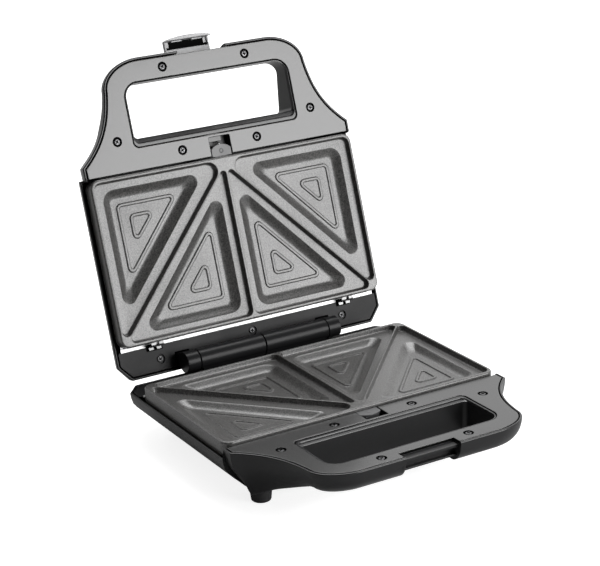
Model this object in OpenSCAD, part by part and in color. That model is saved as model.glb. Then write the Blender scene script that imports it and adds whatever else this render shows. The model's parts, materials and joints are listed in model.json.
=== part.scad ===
// Sandwich toaster: two hinged halves, each with a lift-out cooking plate,
// a heating element, a looped handle and a spring-loaded plate catch.
// Both halves are drawn in one "half frame": y = 0 is the front edge of the
// cooking plate, z = 0 is its rim, and the half grows downwards from there.
// The lower half stands on its feet; the upper half is mirrored over it.

/* [Cooking plates] */
// Width of one cooking plate, two bread slices side by side
plate_w = 240; // [220:1:260]
// Depth of one cooking plate, front to back
plate_l = 134; // [126:1:142]
// Thickness of the plate casting
plate_t = 12.2; // [11:0.1:14]
// Radius of the plate's outer corners
plate_r = 7.5; // [4:0.5:12]
// Depth of the bread bed under the rim
bed_d = 4.6; // [3:0.1:5.5]
// Depth of the filling pocket under the rim
pocket_d = 9; // [7.5:0.1:9.5]
// Height of the embossed triangles in the pockets
emboss_h = 0.7; // [0.4:0.1:1.2]
// Gap between the two plate rims when closed
plate_gap = 1.6; // [1:0.1:2.4]

/* [Housings] */
// Height of the lower plate rim above the table
rim_h = 52; // [48:0.5:58]
// Half the width of a housing
half_w = 123.3; // [122.5:0.1:132]
// Distance from the plate's front edge to the back of a housing
rear_y = 161; // [158:0.5:166]
// Depth of the lower housing under the rim
base_d = 41; // [38:0.5:44]
// Height of the upper housing over its rim
lid_d = 37; // [36:0.5:44]
// Wall thickness of the housings
wall = 1.9; // [1.6:0.1:2.6]
// Gap between a housing's wall and the trim or cover that drops into it
seam = 0.35; // [0.2:0.05:0.6]
// Drop from the plate rim to the handle trim
trim_drop = 2.4; // [1.5:0.1:3.5]
// Drop from the plate rim to the side and rear edge of a housing
ledge_drop = 10.5; // [9:0.1:12]
// Thickness of the handle trim and of the rear cover
trim_t = 2.2; // [1.6:0.1:3]

/* [Handle] */
// Reach of the handle in front of the plate
handle_y = 90; // [84:1:96]
// Thickness of the grip under the rim
grip_d = 20; // [17:0.5:23]
// Half the width of the finger opening
window_w = 75.5; // [60:0.5:78]
// Rear edge of the finger opening, in front of the plate
window_y0 = 19; // [18:0.5:24]
// Front edge of the finger opening, in front of the plate
window_y1 = 71; // [66:0.5:72]

/* [Hinge] */
// Distance from the plate's front edge to the hinge axis
hinge_y = 155.4; // [155:0.1:156]
// Radius of the hinge barrel
barrel_r = 8.6; // [8:0.1:8.8]
// Half the length of the fixed barrel
barrel_x = 59.5; // [50:0.5:66]
// Length of one lid knuckle
knuckle_l = 12; // [10:0.1:16]
// Opening angle of the lid in the rest position
lid_open = 108.1; // [0:0.1:108.1]
// Radius of the hinge pins
pin_r = 3; // [2:0.1:4]

/* [Clip and catches] */
// Width of the locking clip
clip_w = 41; // [30:0.5:42]
// Angle of the locking clip away from its closed position
clip_open = 90; // [0:0.5:90]
// Radius of the clip's pivot pin
clip_pin_r = 1.5; // [1.2:0.1:1.8]
// Travel of a plate catch
catch_travel = 3; // [2:0.1:3]

/* [Feet] */
// Radius of a foot
foot_r = 8.7; // [6:0.1:10]
// Half the distance between the two front feet
foot_x0 = 91.5; // [80:0.5:92]
// Half the distance between the two rear feet
foot_x1 = 79; // [70:0.5:88]
// Distance from the plate's front edge to the front feet
foot_y0 = 1; // [0:0.5:8]
// Distance from the plate's front edge to the rear feet
foot_y1 = 144; // [120:0.5:146]

/* [Hidden] */

$fn = 48;
eps = 0.01;

black = "#26272a";
gloss = "#34353a";
metal = "#c9cacc";
coating = "#77777b";

// The origin is under the middle of the open toaster's outline, on the table.
origin_y = 87.4;
hinge_z = 0.4;

// Handle outline: an elliptical front corner, then a flared leg drawn as a cubic curve.
corner_x = 58;
corner_y = -66;
leg_x = 91.8;
leg_ctrl = [[94.6, -50], [98, -31]];
leg_end_y = -11;
leg_step = 1.3;
corner_steps = 7;
leg_steps = 9;
// Front edge of the sunk part of the housings, where the plate well begins.
well_y = -1.5;
// Chamfer of the rear corners of a housing, across and along.
chamfer = [10.5, 12];

// Housing section: share of the depth, and share of the inset for the grip and the tub.
section = [[0, 0, 0], [0.3, 0.046, 0.09], [0.55, 0.165, 0.4], [0.75, 0.339, 0.7],
    [0.9, 0.564, 0.92], [0.97, 0.757, 1.02], [1, 1, 1.12]];
// How far the underside is drawn in, for the grip and for the tub, across and along.
grip_inset = [12, 12];
tub_inset = [21.5, 2];

screw_head_r = 3.1;
screw_recess_r = 4;
screw_r = 1.3;
boss_r = 4;
trim_screws = [[34.3, -11], [88.9, -26.6], [37.6, -79.3]];
cover_screws = [[85.5, 149], [0, 144]];
tray_screws = [[75, 30], [75, 104]];

catch_w = 18;
catch_y0 = -0.6;
catch_y1 = -10.6;
notch_w = 19;
notch_y = -17;
spring_y = [-19.3, -10.4];
spring_d = 7;
lug_d = 4.8;

hook_x = 89;
hook_w = 11;
cover_y = 138.4;

pan = [222, 116];
pan_d = 24;
pan_t = 0.8;
heater_r = 3.3;
heater_box = [176, 80, 18];
heater_d = plate_t + 0.3 + heater_r;

clip_pivot = [-77.2, 13.4];
clip_t = 3.2;
clip_front = -91;
clip_end = 12.9;
clip_lip = 3.2;
clip_crown = 60;
recess_w = 44;
latch_w = 47;
latch_y = -80;
latch_d = 15.4;

lamp_x = 9;
lamp_y = 22;
cord_x = 84;
cord_d = 26;
cord_r = 3.6;

// Bread beds: the triangles sunk under the rim, right-angled corner first.
bed_front = [[117.5, 2.8], [117.5, 131], [-1.4, 2.8]];
bed_rear = [[1.2, 131.2], [1.2, 7.8], [115.9, 131.2]];
// Filling pockets in the beds, and the triangles embossed on their floors.
pocket_front = [[109.5, 10], [109.5, 109.6], [18.9, 10]];
pocket_rear = [[8.25, 125.5], [8.25, 24.9], [98.6, 125.5]];
emboss_front = [[[98.25, 21.5], [98.25, 82.7], [42.7, 21.5]], [[88.5, 31], [88.5, 56.9], [64.4, 31]]];
emboss_rear = [[[19.4, 113], [19.4, 51.8], [75.3, 113]], [[29, 103.5], [29, 77.6], [53.1, 103.5]]];
emboss_w = 2.5;
// Pocket wall: how far it has come in, and how deep it is, as shares.
pocket_wall = [[0, -0.05], [0.14, 0.12], [0.42, 0.6], [0.72, 0.92], [1, 1]];
pocket_run = 7.6;
// Corner radii of a pocket, at its top and at its floor.
pocket_r = [[8, 4], [5, 3], [5, 3]];

// ---------- geometry helpers ----------

function unit(v) = v / norm(v);
function lerp(a, b, t) = a + (b - a) * min(1, max(0, t));
function flip(pts) = [for (i = [len(pts) - 1:-1:0]) [-pts[i].x, pts[i].y]];
function bezier(a, b, c, d, t) =
    a * pow(1 - t, 3) + 3 * b * t * pow(1 - t, 2) + 3 * c * pow(t, 2) * (1 - t) + d * pow(t, 3);

// Points of one rounded corner at v, between the neighbours u and w.
function corner(u, v, w, r, steps) =
    let (a = unit(u - v), b = unit(w - v),
         half = acos(a * b) / 2,
         c = v + unit(a + b) * r / sin(half),
         turn = cross(w - v, u - v) > 0 ? 1 : -1,
         start = v + a * r / tan(half) - c,
         sweep = (180 - 2 * half) * turn)
    [for (i = [0:steps]) let (t = sweep * i / steps)
        c + [start.x * cos(t) - start.y * sin(t), start.x * sin(t) + start.y * cos(t)]];

// A polygon with its own radius at each corner.
function rounded(pts, radii, steps = 5) =
    let (n = len(pts))
    [for (i = [0:n - 1]) each corner(pts[(i + n - 1) % n], pts[i], pts[(i + 1) % n], radii[i], steps)];

// Inward direction at each point of an anticlockwise outline, longer at a corner.
function inward(pts) =
    let (n = len(pts))
    [for (i = [0:n - 1])
        let (e = unit(pts[i] - pts[(i + n - 1) % n]), f = unit(pts[(i + 1) % n] - pts[i]))
        [-e.y - f.y, e.x + f.x] / (1 + e * f)];
function inset(pts, d) = let (m = inward(pts)) [for (i = [0:len(pts) - 1]) pts[i] + m[i] * d];

// Triangles between k rings of n points, listed from the top down.
function ring_sides(n, k) =
    [for (r = [0:k - 2], i = [0:n - 1])
        let (a = r * n + i, b = r * n + (i + 1) % n)
        each [[a, b, b + n], [a, b + n, a + n]]];

// ---------- placing ----------

module in_base() {
    translate([0, -origin_y, rim_h]) children();
}

module in_lid() {
    translate([0, hinge_y - origin_y, rim_h + hinge_z])
        rotate([-lid_open, 0, 0])
            translate([0, -hinge_y, plate_gap - hinge_z])
                mirror([0, 0, 1]) children();
}

module both_sides() {
    children();
    mirror([1, 0, 0]) children();
}

// Runs its children at each place, on both sides where it isn't in the middle.
module at_each(places) {
    for (p = places) {
        translate([p.x, p.y, 0]) children();
        if (p.x != 0) translate([-p.x, p.y, 0]) children();
    }
}

// A cylinder that hangs from depth d0 down to depth d1.
module post(r, d0, d1) {
    translate([0, 0, -d1]) cylinder(r = r, h = d1 - d0);
}

// A box from one corner to the other, with depths for heights.
module slab(x, y, d) {
    translate([x[0], y[0], -d[1]]) cube([x[1] - x[0], y[1] - y[0], d[1] - d[0]]);
}

// A cylinder along X between two places, at y and depth d.
module rod(r, x, y, d) {
    translate([x[0], y, -d]) rotate([0, 90, 0]) cylinder(r = r, h = x[1] - x[0]);
}

// ---------- cooking plate ----------

module bed(tri, radii) {
    translate([0, 0, -bed_d]) linear_extrude(bed_d + 1) polygon(rounded(tri, radii));
}

// A filling pocket whose walls run down in a soft curve to a flat floor.
module pocket(tri) {
    rings = [for (w = pocket_wall)
        let (radii = [for (r = pocket_r) lerp(r[0], r[1], w[0])])
        [for (p = rounded(inset(tri, w[0] * pocket_run), radii, 4))
            [p.x, p.y, -bed_d - (pocket_d - bed_d) * w[1]]]];
    n = len(rings[0]);
    last = (len(rings) - 1) * n;
    top = [for (i = [n - 1:-1:0]) i];
    floor = [for (i = [0:n - 1]) last + i];
    polyhedron([for (r = rings) each r], concat(ring_sides(n, len(rings)), [top, floor]));
}

module emboss(tri) {
    outline = rounded(tri, [4, 3.5, 3.5]);
    translate([0, 0, -pocket_d - eps]) linear_extrude(emboss_h)
        difference() {
            polygon(outline);
            polygon(rounded(inset(tri, emboss_w), [2, 1.5, 1.5]));
        }
}

module plate() {
    corners = [[-plate_w / 2, 0], [plate_w / 2, 0], [plate_w / 2, plate_l], [-plate_w / 2, plate_l]];
    color(coating) {
        difference() {
            translate([0, 0, -plate_t]) linear_extrude(plate_t)
                polygon(rounded(corners, [plate_r, plate_r, plate_r, plate_r]));
            both_sides() {
                bed(bed_front, [6, 4, 7.5]);
                bed(bed_rear, [5, 2.5, 4]);
                pocket(pocket_front);
                pocket(pocket_rear);
            }
            // Hollow underside that the element presses against.
            slab([4 - plate_w / 2, plate_w / 2 - 4], [4, plate_l - 4], [plate_t - 1.6, plate_t + 1]);
        }
        both_sides() for (t = concat(emboss_front, emboss_rear)) emboss(t);
        // Lugs that the front catch and the rear hooks hold.
        slab([-6, 6], [-2.2, 0.1], [lug_d, lug_d + 2.6]);
        both_sides() slab([hook_x - 4, hook_x + 4], [plate_l - 0.1, plate_l + 2.1], [3.8, 6.2]);
    }
}

// ---------- housing ----------

function right_side() = concat(
    [for (i = [0:corner_steps])
        let (t = 90 * i / corner_steps)
        [corner_x + (leg_x - corner_x) * sin(t), corner_y - (handle_y + corner_y) * cos(t)]],
    [for (i = [1:leg_steps])
        bezier([leg_x, corner_y], leg_ctrl[0], leg_ctrl[1], [half_w - leg_step, leg_end_y], i / leg_steps)],
    [[half_w - leg_step, well_y - 0.2], [half_w, well_y],
     [half_w, rear_y - chamfer[1]], [half_w - chamfer[0], rear_y]]);
function outline() = concat(right_side(), flip(right_side()));

function top_d(y) = y < well_y - 0.1 ? trim_drop : ledge_drop;
function floor_d(y, depth) =
    y < -window_y0 - 3 ? lerp(grip_d, depth - 6.5, (y + 60) / (57 - window_y0))
        : lerp(depth - 6.5, depth, (y + window_y0 + 3) / 12);
function tub_share(y) = (y + 40) / 40;

// Rings of the housing, drawn in by t all round, with its floor raised by t.
function housing_rings(depth, t, rise) =
    let (pts = outline(), dirs = inward(pts))
    concat(
        rise > 0 ? [[for (i = [0:len(pts) - 1])
            [pts[i].x + dirs[i].x * t, pts[i].y + dirs[i].y * t, rise]]] : [],
        [for (s = section) [for (i = [0:len(pts) - 1])
            let (y = pts[i].y, w = tub_share(y), low = floor_d(y, depth) - t,
                 in_x = t + lerp(s[1] * grip_inset[0], s[2] * tub_inset[0], w),
                 in_y = t + lerp(s[1] * grip_inset[1], s[2] * tub_inset[1], w))
            [pts[i].x + dirs[i].x * in_x, pts[i].y + dirs[i].y * in_y,
             -lerp(top_d(y), low, s[0])]]]);

// The caps are strips between mirrored points, so they can follow the depth.
module housing_solid(depth, t = 0, rise = 0) {
    rings = housing_rings(depth, t, rise);
    n = len(rings[0]);
    last = (len(rings) - 1) * n;
    strip = [for (i = [0:n / 2 - 2]) each [[i, n - 1 - i, i + 1], [i + 1, n - 1 - i, n - 2 - i]]];
    floor = [for (f = strip) [f[0] + last, f[2] + last, f[1] + last]];
    polyhedron([for (r = rings) each r], concat(ring_sides(n, len(rings)), strip, floor));
}

// Outline of the finger opening, drawn in by d and by a further amount at its rear edge.
function window(d, rear = 0) =
    let (x = window_w - d, y0 = -window_y1 + min(d, 1.6), y1 = -window_y0 - d - rear)
    rounded([[-x, y0], [x, y0], [x, y1], [-x, y1]], [12.5 - d, 12.5 - d, 5 - d / 2, 5 - d / 2]);

// Shell, finger opening, screw posts and the channel of the plate catch.
module housing(depth) {
    difference() {
        union() {
            difference() {
                housing_solid(depth);
                housing_solid(depth, wall, 10);
            }
            intersection() {
                housing_solid(depth);
                union() {
                    translate([0, 0, -depth]) linear_extrude(depth - trim_drop - 0.5)
                        difference() {
                            polygon(window(0.4));
                            polygon(window(2.3, 1.5));
                        }
                    slab([-window_w + 2, window_w - 2], [-window_y0 - 7.2, -window_y0 - 3],
                        [trim_drop + 1.8, depth]);
                    at_each(trim_screws) post(boss_r, trim_drop + trim_t, depth);
                    at_each(cover_screws) post(boss_r, ledge_drop + trim_t, depth);
                    at_each(tray_screws) post(boss_r, pan_d + pan_t, depth);
                    slab([-half_w, half_w], [well_y - 1.8, well_y], [trim_drop + trim_t, depth]);
                    slab([-12, 12], [-window_y0 - 0.6, well_y], [9.6, 11]);
                    both_sides() slab([9.6, 11.4], [-window_y0 - 0.6, well_y],
                        [trim_drop + trim_t, 11]);
                    slab([-9.8, 2.5], [-window_y0 - 0.6, catch_y1 + 0.4 - catch_travel],
                        [trim_drop + trim_t - 0.05, trim_drop + trim_t + 0.6]);
                }
            }
        }
        translate([0, 0, -depth - 1]) linear_extrude(depth + 2) polygon(window(2.3, 4.9));
        slab([-notch_w / 2, notch_w / 2], [well_y - 2, 1], [0, 9.6]);
        at_each(trim_screws) post(screw_r, 0, 15);
        at_each(cover_screws) post(screw_r, 0, 23);
        at_each(tray_screws) post(screw_r, 0, pan_d + 8);
    }
}

// Walls that close the cut in the front of a grip, within the housing's own outline.
module front_pocket(depth, width, y) {
    difference() {
        union() {
            children();
            intersection() {
                housing_solid(depth);
                union() {
                    slab([-width / 2 - 2, width / 2 + 2], [y, y + 1.8], [trim_drop + trim_t, depth]);
                    both_sides() slab([width / 2, width / 2 + 2], [-handle_y, y + 1],
                        [trim_drop + trim_t, depth]);
                }
            }
        }
        slab([-width / 2, width / 2], [-handle_y - 1, y], [-1, depth + 1]);
    }
}

module trim(front_cut, front_y) {
    color(gloss) difference() {
        translate([0, 0, -trim_drop - trim_t]) linear_extrude(trim_t)
            difference() {
                intersection() {
                    polygon(inset(outline(), wall + seam));
                    translate([-half_w, -handle_y]) square([2 * half_w, handle_y + well_y - 0.1]);
                }
                polygon(window(0));
                translate([-notch_w / 2, notch_y]) square([notch_w, -notch_y]);
                if (front_cut > 0) translate([-front_cut / 2, -handle_y - 1])
                    square([front_cut, handle_y + 1 + front_y]);
            }
        at_each(trim_screws) post(screw_recess_r, 0, trim_drop + 1.3);
        at_each(trim_screws) post(screw_r + 0.3, 0, 10);
    }
}

module rear_cover(gaps) {
    color(black) difference() {
        translate([0, 0, -ledge_drop - trim_t]) linear_extrude(trim_t)
            difference() {
                intersection() {
                    polygon(inset(outline(), wall + seam));
                    translate([-half_w, cover_y]) square([2 * half_w, rear_y - cover_y]);
                }
                both_sides() translate([hook_x - 7, cover_y - 1]) square([14, 3.6]);
                both_sides() translate([gaps[0], hinge_y - barrel_r - 0.4])
                    square([gaps[1] - gaps[0], 2 * barrel_r]);
            }
        at_each(cover_screws) post(screw_recess_r, 0, ledge_drop + 1.3);
        at_each(cover_screws) post(screw_r + 0.3, 0, 20);
    }
}

// ---------- parts inside a half ----------

// A pan under the heater, with a rear strip that shows behind the plate.
module tray() {
    mid = plate_l / 2;
    color(metal) difference() {
        union() {
            slab([-pan.x / 2, pan.x / 2], [mid - pan.y / 2, mid + pan.y / 2], [plate_t + 0.2, pan_d + pan_t]);
            slab([-117, 117], [2, plate_l - 1], [plate_t + 0.2, plate_t + 0.2 + pan_t]);
            slab([-117, 117], [plate_l - 1.1, plate_l + 1.5], [plate_t + 0.2, plate_t + 0.2 + pan_t]);
            slab([-117, 117], [plate_l + 0.7, plate_l + 1.5], [ledge_drop - 0.2, plate_t + 0.3]);
            slab([-118, 118], [plate_l + 0.7, cover_y - 0.9], [ledge_drop - 0.2, ledge_drop - 0.2 + pan_t]);
        }
        both_sides() slab([hook_x - 7, hook_x + 7], [plate_l + 1.6, cover_y], [0, ledge_drop + 1]);
        slab([-pan.x / 2 + pan_t, pan.x / 2 - pan_t],
            [mid - pan.y / 2 + pan_t, mid + pan.y / 2 - pan_t], [0, pan_d]);
        at_each(tray_screws) post(screw_r + 0.2, pan_d - 1, pan_d + 2);
    }
}

// A tubular element in a flat loop, with its two cold ends at the back.
module heater() {
    mid = plate_l / 2;
    x = heater_box[0] / 2;
    y = heater_box[1] / 2;
    r = heater_box[2];
    color("#4a4542") translate([0, mid, -heater_d]) {
        for (i = [0:3]) {
            sx = [1, -1, -1, 1][i];
            sy = [1, 1, -1, -1][i];
            translate([sx * (x - r), sy * (y - r), 0]) rotate([0, 0, 90 * i])
                rotate_extrude(angle = 90) translate([r, 0]) circle(r = heater_r);
        }
        rod(heater_r, [-x + r, x - r], -y, 0);
        both_sides() {
            rod(heater_r, [14, x - r], y, 0);
            rod(1.4, [5, 14], y, 0);
            translate([x, -y + r, 0]) rotate([-90, 0, 0]) cylinder(r = heater_r, h = 2 * (y - r));
        }
    }
}

// Saddles that hold the element over the pan.
module heater_clips() {
    mid = plate_l / 2;
    color(metal) for (sx = [-1, 1], sy = [-1, 1])
        difference() {
            slab([sx * 40 - 5, sx * 40 + 5],
                [mid + sy * heater_box[1] / 2 - 5, mid + sy * heater_box[1] / 2 + 5],
                [heater_d, pan_d]);
            rod(heater_r, [sx * 40 - 6, sx * 40 + 6], mid + sy * heater_box[1] / 2, heater_d);
        }
}

module plate_hooks() {
    color(metal) both_sides() {
        slab([hook_x - hook_w / 2, hook_x + hook_w / 2], [plate_l + 2.3, plate_l + 3.5], [2.4, 14]);
        slab([hook_x - hook_w / 2, hook_x + hook_w / 2], [plate_l + 0.4, plate_l + 2.4], [2.4, 3.4]);
        slab([hook_x - hook_w / 2, hook_x + hook_w / 2], [plate_l - 1, plate_l + 2.4],
            [plate_t + 0.2 + pan_t, 14]);
    }
}

// Cross-head screws: the head's top at depth d, the shank below it.
module screws(places, d, length) {
    color("#55565a") at_each(places) difference() {
        union() {
            post(screw_head_r, d, d + 1);
            post(screw_r - 0.05, d + 0.9, d + length);
        }
        for (a = [0, 90]) rotate([0, 0, a]) slab([-1.9, 1.9], [-0.45, 0.45], [d - 1, d + 0.6]);
    }
}

// A sliding catch: a tab with a curved back over the plate's lug, on a guide block.
module catch() {
    color("#4b4c50") difference() {
        union() {
            translate([0, 0, -4.4]) linear_extrude(1.6) intersection() {
                translate([-catch_w / 2, catch_y1]) square([catch_w, catch_y0 - catch_y1]);
                translate([0, catch_y1 + 13]) circle(r = 13);
            }
            slab([-6, 6], [catch_y1 + 0.8, -3.9], [4.3, 9.2]);
        }
        translate([0, -5, 0]) post(1.5, 0, 3.3);
        translate([0, catch_y1, -spring_d]) rotate([-90, 0, 0]) cylinder(r = 1.9, h = 5.8);
    }
}

// A coil spring along Y, swept as a round wire.
module catch_spring() {
    coil_r = 1.4;
    wire_r = 0.3;
    turns = 6;
    steps = 14;
    sides = 6;
    run = spring_y[1] - spring_y[0] - 2 * wire_r;
    rings = [for (i = [0:turns * steps])
        let (a = 360 * i / steps, y = spring_y[0] + wire_r + run * i / (turns * steps))
        [for (j = [0:sides - 1])
            let (b = -360 * j / sides, r = coil_r + wire_r * cos(b))
            [r * cos(a), y + wire_r * sin(b), -spring_d + r * sin(a)]]];
    last = len(rings) - 1;
    color(metal) polyhedron([for (r = rings) each r],
        concat(ring_sides(sides, len(rings)), [[for (j = [sides - 1:-1:0]) j]],
            [[for (j = [0:sides - 1]) last * sides + j]]));
}

// ---------- lower half ----------

module base_housing() {
    color(black) in_base() difference() {
        union() {
            front_pocket(base_d, latch_w, latch_y) housing(base_d);
            slab([-latch_w / 2 - 1, latch_w / 2 + 1], [latch_y - 3.5, -window_y1 + 0.9],
                [latch_d - 1.6, latch_d]);
            // Rib under the hinge saddles, and the rib that the clip's lip hooks under.
            slab([-50, 50], [hinge_y - 5, hinge_y - 2.7], [ledge_drop + trim_t, base_d - 1]);
            slab([-latch_w / 2, latch_w / 2], [latch_y - 6, latch_y + 0.2], [5.2, 7.6]);
        }
        slab([-latch_w / 2, latch_w / 2], [-handle_y, -window_y1 + 2], [latch_d, base_d]);
        translate([cord_x, rear_y + 1, -cord_d]) rotate([90, 0, 0]) cylinder(r = 5.8, h = 10);
        at_each([[foot_x0, foot_y0], [foot_x1, foot_y1]]) post(3.1, base_d - wall - 1, base_d + 1);
    }
}

module base_trim() { in_base() trim(latch_w + 1, latch_y + 0.5); }
module base_rear_cover() { in_base() rear_cover([-1, barrel_x - 1.4]); }
module base_plate() { in_base() plate(); }
module base_tray() { in_base() tray(); }
module base_heater() { in_base() heater(); }
module base_heater_clips() { in_base() heater_clips(); }
module base_plate_hooks() { in_base() plate_hooks(); }
module base_trim_screws() { in_base() screws(trim_screws, trim_drop + 0.3, 11); }
module base_cover_screws() { in_base() screws(cover_screws, ledge_drop + 0.3, 11); }
module base_tray_screws() { in_base() screws(tray_screws, pan_d - 1, 8); }
module base_catch() { in_base() catch(); }
module base_catch_spring() { in_base() catch_spring(); }

// Two halves of the fixed barrel on a saddle that stands on the housing.
module hinge_barrels() {
    color(black) in_base() both_sides() difference() {
        union() {
            rod(barrel_r, [0.15, barrel_x], hinge_y, -hinge_z);
            slab([0.15, barrel_x - 2], [hinge_y - 7, rear_y - wall - 0.4], [0, ledge_drop + trim_t]);
        }
        rod(5.5, [-1, barrel_x - 14], hinge_y, -hinge_z);
        rod(pin_r, [barrel_x - 15, barrel_x + 1], hinge_y, -hinge_z);
    }
}

module hinge_pins() {
    color(metal) in_base() both_sides()
        rod(pin_r, [barrel_x - 14, barrel_x + knuckle_l - 1.4], hinge_y, -hinge_z);
}

module wire_sleeve() {
    color("#d8d2c4") in_base() difference() {
        rod(5.4, [-barrel_x + 15, barrel_x - 15], hinge_y, -hinge_z);
        rod(4.4, [-barrel_x, barrel_x], hinge_y, -hinge_z);
    }
}

module feet() {
    h = rim_h - base_d;
    color("#1a1a1b") in_base() at_each([[foot_x0, foot_y0], [foot_x1, foot_y1]])
        translate([0, 0, -rim_h]) {
            rotate_extrude() difference() {
                union() {
                    square([foot_r - 3, h]);
                    translate([0, 3]) square([foot_r, h - 3]);
                    translate([foot_r - 3, 3]) circle(r = 3);
                }
                translate([-foot_r, -1]) square([foot_r, h + 2]);
            }
            translate([0, 0, h - eps]) cylinder(r = 3, h = wall + 1);
        }
}

module cord_bush() {
    color("#1a1a1b") in_base() translate([cord_x, rear_y, -cord_d]) rotate([90, 0, 0])
        difference() {
            union() {
                translate([0, 0, -1.8]) cylinder(r = 7.6, h = 1.75);
                translate([0, 0, -1]) cylinder(r = 5.7, h = 8);
            }
            translate([0, 0, -3]) cylinder(r = cord_r, h = 20);
        }
}

module terminal_block() {
    color("#e4e0d6") in_base() difference() {
        slab([58, 92], [132, 140], [base_d - 14, base_d - wall]);
        for (x = [64, 75, 86]) translate([x, 136, 0]) post(2, base_d - 15, base_d - 8);
    }
}

module thermostat() {
    color(metal) in_base() translate([0, plate_l / 2, 0]) {
        post(9, pan_d + pan_t, pan_d + 6);
        slab([-14, 14], [-3, 3], [pan_d + pan_t, pan_d + 1.8]);
    }
}

// ---------- upper half ----------

module lid_housing() {
    color(black) in_lid() difference() {
        union() {
            front_pocket(lid_d, recess_w, clip_pivot.x + 4) housing(lid_d);
            both_sides() translate([16, lamp_y, 0]) post(2, 31.6, lid_d - 1);
            both_sides() slab([64, 67], [hinge_y - 7, rear_y - wall], [ledge_drop + trim_t + 2, lid_d - 1]);
        }
        rod(clip_pin_r, [-26, 26], clip_pivot.x, clip_pivot.y);
        both_sides() translate([lamp_x, lamp_y, 0]) post(3.6, lid_d - 6, lid_d + 1);
    }
}

module lid_trim() {
    in_lid() trim(0, -handle_y);
}
module lid_rear_cover() { in_lid() rear_cover([barrel_x, barrel_x + knuckle_l + 0.6]); }
module lid_plate() { in_lid() plate(); }
module lid_tray() { in_lid() tray(); }
module lid_heater() { in_lid() heater(); }
module lid_heater_clips() { in_lid() heater_clips(); }
module lid_plate_hooks() { in_lid() plate_hooks(); }
module lid_trim_screws() { in_lid() screws(trim_screws, trim_drop + 0.3, 11); }
module lid_cover_screws() { in_lid() screws(cover_screws, ledge_drop + 0.3, 11); }
module lid_tray_screws() { in_lid() screws(tray_screws, pan_d - 1, 8); }
module lid_catch() { in_lid() catch(); }
module lid_catch_spring() { in_lid() catch_spring(); }

// Outer knuckles, each on a leg that reaches into the upper housing.
module lid_knuckles() {
    x = [barrel_x + 0.35, barrel_x + knuckle_l];
    d = -plate_gap + hinge_z;
    color(black) in_lid() both_sides() difference() {
        union() {
            rod(barrel_r, x, hinge_y, d);
            slab(x, [hinge_y - barrel_r + 0.4, rear_y - wall - 0.4], [0, ledge_drop + trim_t + 2]);
        }
        rod(pin_r + 0.06, [barrel_x - 1, barrel_x + knuckle_l - 1.2], hinge_y, d);
    }
}

module thermal_fuse() {
    color(metal) in_lid() {
        rod(2, [-11, 11], plate_l / 2, pan_d + pan_t + 2);
        rod(0.7, [-20, 20], plate_l / 2, pan_d + pan_t + 2);
    }
}

module lamp_board() {
    color("#3c6b45") in_lid() {
        slab([-22, 22], [lamp_y - 7, lamp_y + 7], [30, 31.6]);
        both_sides() translate([lamp_x, lamp_y, 0]) post(2, 31.5, 33.6);
    }
}

module lamp_lens(x) {
    in_lid() translate([x, lamp_y, 0]) {
        post(3.5, lid_d - 2.3, lid_d + 0.6);
        post(2.9, lid_d, lid_d + 1);
    }
}

module lamp_lens_power() { color("#a01818") lamp_lens(-lamp_x); }
module lamp_lens_ready() { color("#1f8a3a") lamp_lens(lamp_x); }

// The clip is drawn closed, hooked under the lower grip's rib, then swung open.
module clip() {
    p = [clip_pivot.x, -clip_pivot.y];
    back = clip_front - clip_t;
    hook = [[back, -7], [clip_front, -7], [clip_front, clip_end - clip_lip], [-84.6, clip_end - clip_lip],
        [-84.6, clip_end], [back, clip_end]];
    arm = [[p.x, p.y + 2.2], [p.x, p.y - 3], [back + 4, p.y - 0.4], [back, p.y + 3], [back, -7],
        [clip_front + 0.2, -7]];
    color("#9a9c9f") in_lid() translate([0, p.x, p.y]) rotate([clip_open, 0, 0]) translate([0, -p.x, -p.y])
        difference() {
            intersection() {
                translate([-clip_w / 2, 0, 0]) rotate([90, 0, 90]) linear_extrude(clip_w) {
                    polygon(rounded(hook, [0.01, 0.01, 1, 0.6, 0.8, 4], 4));
                    polygon(arm);
                    translate(p) circle(r = 3.4);
                }
                // The free end is crowned, with rounded corners.
                union() {
                    intersection() {
                        translate([0, 0, clip_end - clip_crown]) rotate([90, 0, 0])
                            cylinder(r = clip_crown, h = 2 * handle_y, $fn = 180);
                        translate([0, -handle_y / 2, 0]) rotate([90, 0, 0]) linear_extrude(handle_y)
                            polygon(rounded([[-clip_w / 2, -5], [clip_w / 2, -5],
                                [clip_w / 2, 9.8], [4, 20], [-4, 20], [-clip_w / 2, 9.8]],
                                [0.1, 0.1, 3, 1, 1, 3]));
                    }
                    translate([-clip_w / 2, -1.5 * handle_y, -40]) cube([clip_w, handle_y, 36]);
                }
            }
            translate([-clip_w, p.x, p.y]) rotate([0, 90, 0])
                cylinder(r = clip_pin_r + 0.06, h = 2 * clip_w);
        }
}

module clip_pin() {
    color(metal) in_lid() rod(clip_pin_r, [-23.8, 23.8], clip_pivot.x, clip_pivot.y);
}

base_housing();
base_trim();
base_rear_cover();
base_plate();
base_tray();
base_heater();
base_heater_clips();
base_plate_hooks();
base_trim_screws();
base_cover_screws();
base_tray_screws();
base_catch();
base_catch_spring();
hinge_barrels();
hinge_pins();
wire_sleeve();
feet();
cord_bush();
terminal_block();
thermostat();
lid_housing();
lid_trim();
lid_rear_cover();
lid_plate();
lid_tray();
lid_heater();
lid_heater_clips();
lid_plate_hooks();
lid_trim_screws();
lid_cover_screws();
lid_tray_screws();
lid_catch();
lid_catch_spring();
lid_knuckles();
thermal_fuse();
lamp_board();
lamp_lens_power();
lamp_lens_ready();
clip();
clip_pin();
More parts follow.
